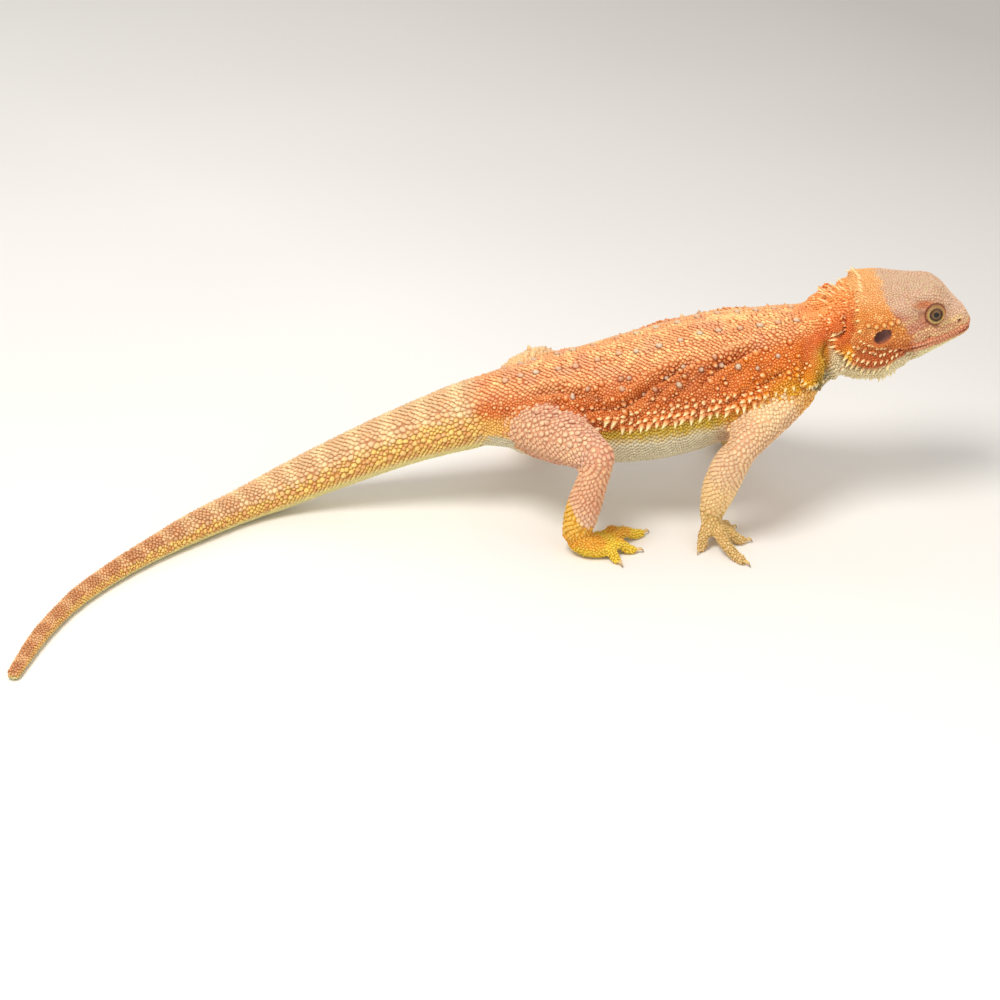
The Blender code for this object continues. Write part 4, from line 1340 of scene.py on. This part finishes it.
def reaches(places, normals, sizes, lie, across):
    """How far each scale reaches towards each of its corners before it meets a neighbour."""
    tree = tree_of(places)
    near = np.array([[found[1] for found in tree.find_n(place, NEIGHBOURS + 1)] for place in places.tolist()])
    near = near[:, 1:]
    away = places[near] - places[:, None, :]
    apart = np.sum(away * away, axis=2)
    facing = np.sum(normals[near] * normals[:, None, :], axis=2) > 0.1
    u = np.sum(away * lie[:, None, :], axis=2)
    v = np.sum(away * across[:, None, :], axis=2)
    reach = np.empty((len(places), SIDES))
    bias = sizes[:, None] ** 2 - sizes[near] ** 2
    for k in range(SIDES):
        turn = 2 * math.pi * k / SIDES
        toward = u * math.cos(turn) + v * math.sin(turn)
        limit = np.where((toward > 1e-3) & facing, (apart + bias) / (2 * np.maximum(toward, 1e-3)), 99.0)
        reach[:, k] = np.clip(limit.min(axis=1), sizes * 0.45, sizes * 1.3)
    return reach


lie, across = tangents(normals, lies)
reach = reaches(places, normals, sizes, lie, across)

# How far a lapping scale's corners reach, from its point at the rear round to the front and back
POINTED = np.array((1.34, 1.04, 0.97, 0.92, 0.92, 0.92, 0.97, 1.04))


def scale_meshes(chosen):
    """(points, triangles, how high each point stands in its scale, its place in it) of those scales."""
    count = len(chosen)
    turn = 2 * math.pi * np.arange(SIDES) / SIDES
    rise, keel, lap = (forms[chosen, k][:, None] for k in range(3))
    size = sizes[chosen][:, None]
    knob = np.clip(rise / size - 0.6, 0, 0.4) * 2.5  # 1 for the scales that stand up as knobs
    far = reach[chosen] * (0.985 + np.clip(lap / 0.36, 0, 1.2) * (POINTED - 1))
    rear = np.clip(np.cos(turn), 0, 1)[None, :]
    front = np.clip(-np.cos(turn), 0, 1)[None, :]
    u_low, v_low = far * np.cos(turn), far * np.sin(turn)
    inset = 0.86 - 0.2 * knob
    u_top, v_top = u_low * inset, v_low * inset
    tilt = lap * size * 0.8
    h_low = -0.14 + tilt * (rear * 1.1 - front * 0.35)
    h_top = rise * (0.8 - 0.2 * knob) * (1 - 0.25 * front) + tilt * (rear * 1.1 - front * 0.4)
    u_back = u_low[:, :1] * (0.66 - 0.42 * knob)
    u_front = u_low[:, 4:5] * (0.4 - 0.1 * knob)
    h_back = rise * (1 + 0.3 * knob) + keel * size + tilt * 0.8 * (1 - knob)
    h_front = rise * (0.97 + 0.2 * knob) + keel * size * 0.5 - tilt * 0.1
    u = np.concatenate((u_low, u_top, u_front, u_back), axis=1)
    v = np.concatenate((v_low, v_top, 0 * u_front, 0 * u_back), axis=1)
    h = np.concatenate((h_low, h_top, h_front, h_back), axis=1)
    rows = (
        places[chosen][:, None, :]
        + lie[chosen][:, None, :] * u[..., None]
        + across[chosen][:, None, :] * v[..., None]
        + normals[chosen][:, None, :] * h[..., None]
    )
    front_top, back_top = 2 * SIDES, 2 * SIDES + 1
    faces = []
    for k in range(SIDES):
        n = (k + 1) % SIDES
        faces += [(k, n, SIDES + n), (k, SIDES + n, SIDES + k)]
        end = back_top if k in (0, 1, 6, 7) else front_top
        faces.append((SIDES + k, SIDES + n, end))
    faces += [(SIDES + 2, front_top, back_top), (SIDES + 6, back_top, front_top)]
    faces += [(0, k + 1, k) for k in range(1, SIDES - 1)]
    faces = np.array(faces)
    per = rows.shape[1]
    triangles = (faces[None] + np.arange(count)[:, None, None] * per).reshape(-1, 3)
    height = np.concatenate((np.zeros(SIDES), np.full(SIDES, 0.6), (0.92, 1.0)))
    inside = np.stack((u / (size * 3.2), v / (size * 3.2)), axis=-1).reshape(-1, 2)
    return rows.reshape(-1, 3), triangles, np.tile(height, count), inside, per


def put(mesh, name, kind, values, domain="POINT"):
    field = mesh.attributes.new(name, kind, domain)
    key = {"FLOAT": "value", "QUATERNION": "value", "FLOAT_COLOR": "color"}.get(kind, "vector")
    field.data.foreach_set(key, np.ascontiguousarray(values, np.float32).ravel())


def mesh_of(name, points, triangles):
    """A mesh of triangles from points in millimetres, set in the row frame."""
    mesh = bpy.data.meshes.new(name)
    mesh.vertices.add(len(points))
    set_points(mesh, (points + ORIGIN) * MM)
    mesh.loops.add(len(triangles) * 3)
    mesh.loops.foreach_set("vertex_index", np.ascontiguousarray(triangles, np.int32).ravel())
    mesh.polygons.add(len(triangles))
    mesh.polygons.foreach_set("loop_start", np.arange(0, len(triangles) * 3, 3, dtype=np.int32))
    mesh.polygons.foreach_set("use_smooth", np.ones(len(triangles), bool))
    mesh.update(calc_edges=True)
    return mesh


def piece_of(name, mesh, finish):
    piece = put_in_scene(name, mesh)
    mesh.materials.clear()
    mesh.materials.append(finish)
    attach(piece, "root")
    return piece


def with_alpha(colour):
    return np.column_stack((colour, np.ones(len(colour))))


def path_of(node):
    """The line that a node's flesh follows."""
    if node in TAIL:
        return TAIL_PATH
    if node in HEAD + TRUNK:
        return TRUNK_PATH
    return LEG_PATHS[next(place for place in PLACES if node.endswith(place))]


def unwrapped(points, owner):
    """Where each place lies on a flat unwrap of its node's skin, from 0 to 1."""
    flat = np.zeros((len(points), 2))
    up = np.array((0.02, 0, 1.0))
    for index in np.unique(owner):
        chosen = owner == index
        rows, line = points[chosen], path_of(FLESH[index])
        far, feet = line.nearest(rows)
        along = line.along(far)
        top = unit(up - along * (along @ up)[:, None])
        away = rows - feet
        angle = np.arctan2(np.sum(away * np.cross(top, along), axis=1), np.sum(away * top, axis=1))
        girth = np.percentile(np.linalg.norm(away, axis=1), 90)
        spread = far + np.sum(away * along, axis=1)
        size = max(spread.max() - spread.min(), 2 * math.pi * girth, 1.0)
        flat[chosen, 0] = 0.02 + 0.96 * (spread - spread.min()) / size
        flat[chosen, 1] = 0.5 + 0.48 * angle * girth / size / 1.05
    return flat


PATCH = 0.003  # size of one scale on the flat map


def lay_out(mesh, root_flat, inside):
    """The map named OFBake: each point's patch at the place of its root on the unwrapped skin."""
    corner = read(mesh.loops, "vertex_index", 1, np.int32)[:, 0]
    layer = mesh.uv_layers.new(name="OFBake")
    flat = np.clip(root_flat + inside * PATCH, 0.001, 0.999)
    layer.uv.foreach_set("vector", np.ascontiguousarray(flat[corner], np.float32).ravel())


# ---------------------------------------------------------------- finishes


class Nodes:
    """A tree of nodes, with a short way to add one and join it to others."""

    def __init__(self, tree):
        self.tree = tree

    def fill(self, node, inputs):
        """Each input of the node set to a value, or joined to another node's output."""
        for name, value in inputs.items():
            socket = node.inputs[name]
            if isinstance(value, bpy.types.NodeSocket):
                self.tree.links.new(value, socket)
            else:
                socket.default_value = (*value, 1.0) if socket.type == "RGBA" else value

    def add(self, kind, inputs=None, **settings):
        """The outputs of a new node with these inputs and settings."""
        node = self.tree.nodes.new(kind)
        for name, value in settings.items():
            setattr(node, name, value)
        self.fill(node, inputs or {})
        return node.outputs


class Finish(Nodes):
    """A material and what its nodes are made of."""

    def __init__(self, name):
        self.made = bpy.data.materials.new(name)
        self.made.use_nodes = True
        super().__init__(self.made.node_tree)

    def speckle(self, size, detail=3.0):
        """A noise in the piece's own space, size millimetres across."""
        place = self.add("ShaderNodeTexCoord")["Object"]
        grain = {"Vector": place, "Scale": 1 / (size * MM), "Detail": detail}
        return self.add("ShaderNodeTexNoise", grain)["Fac"]

    def attribute(self, name, output="Fac"):
        return self.add("ShaderNodeAttribute", attribute_name=name)[output]

    def mixed(self, kind, share, first, second):
        parts = {0: share, 6: first, 7: second}
        return self.add("ShaderNodeMix", parts, data_type="RGBA", blend_type=kind)[2]

    def remapped(self, value, low, high, start=0.0, end=1.0):
        ends = {"From Min": low, "From Max": high, "To Min": start, "To Max": end}
        return self.add("ShaderNodeMapRange", {"Value": value, **ends})["Result"]

    def grained(self, colour, size, low, high):
        """The colour made lighter and darker by a fine grain."""
        grain = self.remapped(self.speckle(size), 0.3, 0.7, low, high)
        return self.add("ShaderNodeVectorMath", {0: colour, "Scale": grain}, operation="SCALE")[0]

    def bumped(self, size, detail, strength, depth):
        bump = {"Strength": strength, "Distance": depth * MM, "Height": self.speckle(size, detail)}
        return self.add("ShaderNodeBump", bump)["Normal"]

    def done(self, inputs):
        """The material, with these inputs of its surface."""
        self.fill(self.tree.nodes["Principled BSDF"], inputs)
        return self.made


def scale_finish(name, edge):
    """Dry scales: their marking, with painted shade down between them, paler on the crest, with a fine grain.
    """
    made = Finish(name)
    colour, rise = made.attribute("marking", "Color"), made.attribute("rise")
    # painted shade: the marking darkened by the edge colour low down between the scales
    gap = made.mixed("MULTIPLY", 1.0, colour, edge)
    colour = made.mixed("MIX", made.remapped(rise, 0.0, 0.5), gap, colour)
    crest = {0: made.remapped(rise, 0.62, 1.0), 1: made.attribute("crest")}
    colour = made.mixed("MIX", made.add("ShaderNodeMath", crest, operation="MULTIPLY")[0], colour, CREST)
    return made.done(
        {
            "Base Color": made.grained(colour, 0.5, 0.86, 1.12),
            "Roughness": made.remapped(made.speckle(0.35), 0.3, 0.7, 0.42, 0.6),
            "Normal": made.bumped(0.22, 2.0, 0.25, 0.06),
            "Specular IOR Level": 0.28,
        }
    )


def spine_finish():
    """Spines: the marking at the root, cream towards the point."""
    made = Finish("spine_horn")
    tip = made.remapped(made.attribute("rise"), 0.05, 0.6)
    colour = made.mixed("MIX", tip, made.attribute("marking", "Color"), TIP_CREAM)
    colour = made.grained(colour, 0.4, 0.9, 1.08)
    return made.done({"Base Color": colour, "Roughness": 0.45, "Specular IOR Level": 0.285})


def skin_finish():
    """Bare skin between the scales, and the ear drum and mouth."""
    made = Finish("bare_skin")
    colour = made.grained(made.attribute("marking", "Color"), 0.6, 0.85, 1.1)
    bump = made.bumped(0.4, 4.0, 0.3, 0.1)
    return made.done({"Base Color": colour, "Normal": bump, "Roughness": 0.6, "Specular IOR Level": 0.35})


EDGE_SHADES = {  # painted shade: how dark each slot's scales are made at the edge, down between them
    "head_scales": (0.88, 0.78, 0.70),
    "beard_scales": (0.84, 0.72, 0.62),
    "body_scales": (0.76, 0.60, 0.50),
    "tail_scales": (0.93, 0.83, 0.74),
    "leg_scales": (0.96, 0.86, 0.78),
    "foot_scales": (0.88, 0.72, 0.50),
}
FINISHES = {slot: scale_finish(slot, edge) for slot, edge in EDGE_SHADES.items()}
# the neck's scales get a lighter painted shade at their edges
FINISHES["neck"] = scale_finish("neck_scales", (0.82, 0.66, 0.56))


def make_coat():
    """One piece of scales for each node of flesh."""
    draw = np.random.default_rng(3).uniform(-1, 1, len(places))
    colour = marking(places, owners, draw)
    grey = (forms[:, 3] > 1.5) & of(owners, TRUNK)
    colour = np.where(grey[:, None], blend(colour, GREY_PEARL, 0.6 + 0.3 * draw), colour)
    colour = colour * (1 + 0.09 * draw[:, None])
    crest = np.where(grey, 0.3, np.minimum(forms[:, 3], 1.1))
    flat = unwrapped(places, owners)
    for index, node in enumerate(FLESH):
        chosen = np.flatnonzero(owners == index)
        points, triangles, height, inside, per = scale_meshes(chosen)
        mesh = mesh_of(f"scales_{node}", points, triangles)
        put(mesh, "marking", "FLOAT_COLOR", with_alpha(np.repeat(colour[chosen], per, axis=0)))
        put(mesh, "rise", "FLOAT", height)
        put(mesh, "crest", "FLOAT", np.repeat(crest[chosen], per))
        lay_out(mesh, np.repeat(flat[chosen], per, axis=0), inside)
        slot = SLOT_OF[node]
        piece_of(f"scales_{node}", mesh, FINISHES.get(node, FINISHES[slot]))


def finish_skin():
    """The skin as the piece that stands for all the flesh, darker than the scales over it as painted shade in
    the gaps between them.
    """
    owner, sided = skin.node, one_side(skin.points)
    # painted shade: the skin seen between the scales is darkened, less on the head, legs and feet, and hardly
    # round the eyes
    dark = np.tile((0.66, 0.48, 0.4), (len(owner), 1))
    dark[of(owner, LEGS + FEET)] = (0.9, 0.74, 0.64)
    dark[of(owner, HEAD)] = (0.8, 0.64, 0.57)
    dark[np.linalg.norm(sided - EYE_CENTRE, axis=1) < 5.6] = (0.95, 0.9, 0.88)
    colour = marking(skin.points, owner, np.zeros(len(skin.points))) * dark
    drum = blend(DRUM, DRUM_LIGHT, smooth(-0.4, 1.0, (sided[:, 0] - EAR[0]) / 4))
    colour = blend(colour, drum, 1 - smooth(0.85, 1.08, ear_distance(sided)))
    # painted shade in the nostril's opening
    colour[np.linalg.norm((sided - NOSTRIL) * (0.8, 0.7, 1.15), axis=1) < 0.75] = NOSTRIL_SHADE
    # the mouth's line: its own dark red, with painted shade in the groove between the lips
    line = bell((sided[:, 2] - mouth_height(sided[:, 0])) / 0.55) * smooth(157.5, 159.5, sided[:, 0])
    colour = blend(colour, MOUTH_SHADE_RED, line)
    mesh = skin.mesh
    set_points(mesh, (skin.points + ORIGIN) * MM)
    put(mesh, "marking", "FLOAT_COLOR", with_alpha(colour))
    mesh.shade_smooth()
    piece = piece_of("skin", mesh, skin_finish())
    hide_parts(*FLESH)


make_coat()
finish_skin()

# ---------------------------------------------------------------- spines


def spine_template():
    """One spine, a unit long and a unit in half width, curved back towards +X."""
    shape = bmesh.new()
    rings = ((-0.12, 1.0, 0.0), (0.2, 0.84, 0.0), (0.5, 0.5, 0.06), (0.8, 0.2, 0.2))
    made = []
    for height, size, bend in rings:
        round_it = [(math.cos(math.pi / 3 * k), math.sin(math.pi / 3 * k)) for k in range(6)]
        made.append([shape.verts.new((bend + size * u, 0.8 * size * v, height)) for u, v in round_it])
    tip = shape.verts.new((0.36, 0, 1.0))
    for one, two in zip(made, made[1:]):
        for k in range(6):
            shape.faces.new((one[k], one[(k + 1) % 6], two[(k + 1) % 6], two[k]))
    for k in range(6):
        shape.faces.new((made[-1][k], made[-1][(k + 1) % 6], tip))
    shape.faces.new(list(reversed(made[0])))
    bmesh.ops.recalc_face_normals(shape, faces=shape.faces)
    mesh = mesh_from("one spine", shape)
    mesh.shade_smooth()
    rows = points_of(mesh)
    put(mesh, "rise", "FLOAT", np.clip(rows[:, 2], 0, 1))
    put(mesh, "inside", "FLOAT_VECTOR", np.column_stack((rows[:, :2] * 0.4, 0 * rows[:, 0])))
    return put_in_scene("one spine", mesh)


def spine_tree(template, finish):
    """Geometry Nodes that set the template on every root, turned and sized as the root says."""
    group = bpy.data.node_groups.new("spines on their roots", "GeometryNodeTree")

    def socket(name, way, kind):
        return group.interface.new_socket(name, in_out=way, socket_type=f"NodeSocket{kind}")

    socket("Roots", "INPUT", "Geometry")
    scales = [socket(name, "INPUT", "Float") for name in ("Length", "Girth")]
    socket("Spines", "OUTPUT", "Geometry")
    for scale in scales:
        scale.default_value = 1.0
    tree = Nodes(group)
    start = tree.add("NodeGroupInput")
    spine = tree.add("GeometryNodeObjectInfo", {"Object": template})["Geometry"]
    field = "GeometryNodeInputNamedAttribute"
    turn = tree.add(field, {"Name": "turn"}, data_type="QUATERNION")["Attribute"]
    size = tree.add(field, {"Name": "size"}, data_type="FLOAT_VECTOR")["Attribute"]
    factors = {"X": start["Girth"], "Y": start["Girth"], "Z": start["Length"]}
    factors = tree.add("ShaderNodeCombineXYZ", factors)["Vector"]
    size = tree.add("ShaderNodeVectorMath", {0: size, 1: factors}, operation="MULTIPLY")["Vector"]
    spread = {"Points": start["Roots"], "Instance": spine, "Rotation": turn, "Scale": size}
    spread = tree.add("GeometryNodeInstanceOnPoints", spread)["Instances"]
    real = tree.add("GeometryNodeRealizeInstances", {"Geometry": spread})["Geometry"]
    dressed = tree.add("GeometryNodeSetMaterial", {"Geometry": real, "Material": finish})["Geometry"]
    tree.add("NodeGroupOutput", {"Spines": dressed})
    return group, [scale.identifier for scale in scales]


def make_spines():
    """The spines in three pieces: on the body, on the beard and on the head."""
    template, finish = spine_template(), spine_finish()
    group, scales = spine_tree(template, finish)
    at, half, way, form = spines.rows()
    at, normal, owner = skin.settle(at)
    colour = marking(at, owner, np.random.default_rng(8).uniform(-1, 1, len(at)))
    flat = unwrapped(at, owner)
    slots = np.array([SLOT_OF[node] for node in FLESH])[owner]
    for slot in ("body_scales", "beard_scales", "head_scales"):
        chosen = np.flatnonzero(slots == slot)
        mesh = bpy.data.meshes.new("roots")
        mesh.vertices.add(len(chosen))
        set_points(mesh, (at[chosen] - normal[chosen] * 0.1 + ORIGIN) * MM)
        turns = []
        for up in way[chosen]:
            up = Vector(up)
            rear = Vector((-0.6, 0, -1.0)) if slot == "beard_scales" else Vector((-1, 0, -0.2))
            rear = (rear - up * rear.dot(up)).normalized()
            turns.append(tuple(Matrix((rear, up.cross(rear), up)).transposed().to_quaternion()))
        put(mesh, "turn", "QUATERNION", turns)
        put(mesh, "size", "FLOAT_VECTOR", np.column_stack((half[chosen], half[chosen], form[chosen, 0])) * MM)
        put(mesh, "marking", "FLOAT_COLOR", with_alpha(colour[chosen]))
        put(mesh, "flat", "FLOAT_VECTOR", np.column_stack((flat[chosen], 0 * chosen)))
        seeds = put_in_scene("roots", mesh)
        grow = seeds.modifiers.new("grow spines", "NODES")
        grow.node_group = group
        for scale in scales:
            grow[scale] = 1.0
        made = final_mesh(seeds)
        lay_out(made, *(read(made.attributes[name].data, "vector")[:, :2] for name in ("flat", "inside")))
        made.name = f"spines_{slot.split('_')[0]}"
        piece_of(made.name, made, finish)
    bpy.data.objects.remove(template)


make_spines()

# ---------------------------------------------------------------- eyes and claws


IRIS = (  # places from the middle of the eye out, and their colours
    (0.0, tone(2, 2, 2)),
    (0.325, tone(3, 3, 2)),
    (0.345, tone(140, 100, 50)),
    (0.38, tone(120, 84, 44)),
    (0.46, tone(104, 70, 38)),
    (0.54, tone(72, 46, 26)),
    (0.61, tone(22, 14, 9)),
    (1.0, tone(12, 8, 6)),
)


def eye_finish():
    """A wet eye: black pupil, gold ring, brown iris and a dark rim."""
    made = Finish("eye_wet")
    shifted = {0: made.speckle(0.35, 4.0), 1: 0.12, 2: made.attribute("ring")}
    shifted = made.add("ShaderNodeMath", shifted, operation="MULTIPLY_ADD")[0]
    ramp = made.tree.nodes.new("ShaderNodeValToRGB")
    stops = ramp.color_ramp.elements
    while len(stops) < len(IRIS):
        stops.new(0.5)
    for stop, (place, colour) in zip(stops, IRIS):
        stop.position = place
        stop.color = (*colour, 1.0)
    made.fill(ramp, {"Fac": shifted})
    wet = {"Roughness": 0.3, "Specular IOR Level": 0.1, "Coat Weight": 0.8, "Coat Roughness": 0.04}
    return made.done({"Base Color": ramp.outputs["Color"], **wet})


def claw_finish():
    """Claw horn: pale brown at the root, darker to the point."""
    made = Finish("claw_polished")
    tip = made.remapped(made.attribute("rise"), 0.5, 1.0)
    colour = made.mixed("MIX", tip, tone(226, 190, 120), tone(112, 76, 48))
    colour = made.grained(colour, 0.3, 0.85, 1.1)
    return made.done({"Base Color": colour, "Roughness": 0.3, "Coat Weight": 0.3})


def make_eyes():
    finish = eye_finish()
    for side, name in ((-1, "right"), (1, "left")):
        shape = bmesh.new()
        bmesh.ops.create_uvsphere(shape, u_segments=48, v_segments=40, radius=EYE_RADIUS - 0.04)
        axis = Vector(EYE_AXIS * (1, side, 1))
        turn = Vector((0, 0, 1)).rotation_difference(axis).to_matrix().to_4x4()
        bmesh.ops.transform(shape, matrix=turn, verts=shape.verts)
        rows = np.array([tuple(corner.co) for corner in shape.verts])
        away = np.arccos(np.clip(unit(rows) @ np.array(axis), -1, 1))
        for corner in shape.verts:
            corner.co = Vector((np.array(corner.co) + EYE_CENTRE * (1, side, 1) + ORIGIN) * MM)
        mesh = mesh_from(f"eyeball_{name}", shape)
        mesh.shade_smooth()
        put(mesh, "ring", "FLOAT", np.sin(np.minimum(away, math.pi / 2)))
        piece = piece_of(f"eyeball_{name}", mesh, finish)
        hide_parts(f"eye_{name}")


CLAW_SIDES = 10
CLAW_RINGS = ((0.0, 1.0), (0.2, 1.0), (0.4, 0.92), (0.55, 0.78), (0.7, 0.58), (0.86, 0.34), (1.0, 0.1))


def claw(root, tip):
    """(points, triangles, how far along each point is) of one claw, bent down from its root to its tip."""
    level = unit((tip - root) * (1, 1, 0))
    across = np.array((-level[1], level[0], 0))
    arch = root * 0.3 + tip * 0.7 + np.array((0, 0, 2.2))
    tip[2] = max(0.3, tip[2] - 0.8)
    points, triangles = [], []
    for share, size in CLAW_RINGS:
        centre = root * (1 - share) ** 2 + arch * 2 * share * (1 - share) + tip * share**2
        above = np.cross(unit((arch - root) * (1 - share) + (tip - arch) * share), across)
        above = above * (1 if above[2] > 0 else -1)
        for k in range(CLAW_SIDES):
            turn = 2 * math.pi * k / CLAW_SIDES
            points.append(centre + (across * math.cos(turn) * 0.55 + above * math.sin(turn) * 0.8) * size)
    for start in range(0, (len(CLAW_RINGS) - 1) * CLAW_SIDES, CLAW_SIDES):
        for k in range(CLAW_SIDES):
            a, b = start + k, start + (k + 1) % CLAW_SIDES
            triangles += [(a, b, b + CLAW_SIDES), (a, b + CLAW_SIDES, a + CLAW_SIDES)]
    last = len(points) - CLAW_SIDES
    for k in range(1, CLAW_SIDES - 1):
        triangles += [(0, k + 1, k), (last, last + k, last + k + 1)]
    return points, triangles, np.repeat([share for share, _ in CLAW_RINGS], CLAW_SIDES)


def make_claws():
    """Each foot's five claws as one piece, every claw over its own solid."""
    finish = claw_finish()
    for place in PLACES:
        points, triangles, height = [], [], []
        for root, tip in claw_ends(place):
            rows, faces, far = claw(root, root + (tip - root) * (0.88 if place in HIND else 0.8))
            triangles += [[len(points) + corner for corner in face] for face in faces]
            points += rows
            height.extend(far)
        rows = np.array(points)
        rows[:, 2] = np.maximum(rows[:, 2], CLAW_FLOOR)
        mesh = mesh_of(f"claws_{place}", rows, np.array(triangles))
        put(mesh, "rise", "FLOAT", height)
        shape = bmesh.new()
        shape.from_mesh(mesh)
        bmesh.ops.recalc_face_normals(shape, faces=shape.faces)
        shape.to_mesh(mesh)
        shape.free()
        piece = piece_of(f"claws_{place}", mesh, finish)
        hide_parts(*[f"claw_{place}_{number}" for number in range(1, 6)])


make_eyes()
make_claws()

# ---------------------------------------------------------------- floor, light and camera


FLOOR_REACH = 6.0  # metres


def aim(made, place, target):
    made.location = Vector((np.array(place) + ORIGIN) * MM)
    way = Vector((np.array(target, float) - np.array(place, float)))
    made.rotation_euler = way.to_track_quat("-Z", "Y").to_euler()


def make_stage():
    """A plain pale floor, with painted shade that makes it a little darker beyond the animal's head."""
    mesh = bpy.data.meshes.new("floor")
    corners = [(u * FLOOR_REACH, v * FLOOR_REACH, 0) for u, v in ((-1, -1), (1, -1), (1, 1), (-1, 1))]
    mesh.from_pydata(corners, [], [(0, 1, 2, 3)])
    made = Finish("pale_floor")
    place = made.add("ShaderNodeTexCoord")["Object"]
    parts = made.add("ShaderNodeSeparateXYZ", {0: place})
    # painted shade: the floor darkens towards +X and +Y, where the light falls off
    corner = made.add("ShaderNodeMath", {0: parts["Y"], 1: 0.7, 2: parts["X"]}, operation="MULTIPLY_ADD")[0]
    soft = made.mixed("MIX", made.remapped(corner, 0.1, 0.8), tone(246, 243, 238), tone(206, 201, 196))
    cloud = made.remapped(made.speckle(240.0, 1.0), 0.3, 0.7)
    colour = made.mixed("MULTIPLY", cloud, soft, (0.97, 0.97, 0.97))
    mesh.materials.append(made.done({"Base Color": colour, "Roughness": 0.9, "Specular IOR Level": 0.1}))
    floor = put_in_scene("floor", mesh)


def make_light(name, place, target, size, power, colour):
    lamp = bpy.data.lights.new(name, "AREA")
    lamp.shape = "DISK"
    lamp.size, lamp.energy, lamp.color = size, power, colour
    aim(put_in_scene(name, lamp), place, target)


def make_lights():
    make_light("key", (-260, -460, 950), (20, 0, 30), 0.45, 7.7, (1.0, 0.985, 0.965))
    make_light("fill", (700, -900, 600), (40, 0, 40), 1.2, 2.6, (0.97, 0.98, 1.0))
    make_light("back", (100, 900, 900), (0, 0, 40), 1.2, 2.2, (1.0, 1.0, 1.0))
    world = bpy.data.worlds.new("studio")
    world.use_nodes = True
    sky = world.node_tree.nodes["Background"].inputs
    sky["Color"].default_value, sky["Strength"].default_value = (1.0, 0.99, 0.97, 1), 0.54
    bpy.context.scene.world = world
    bpy.context.scene.view_settings.view_transform = "Standard"


def make_camera():
    lens = bpy.data.cameras.new("camera")
    lens.lens, lens.sensor_width, lens.clip_end = 85.32, 36, 20
    camera = put_in_scene("camera", lens)
    aim(camera, (0, -878.47, 469.57), (0, 4.476, 0))
    bpy.context.scene.camera = camera


make_stage()
make_lights()
make_camera()
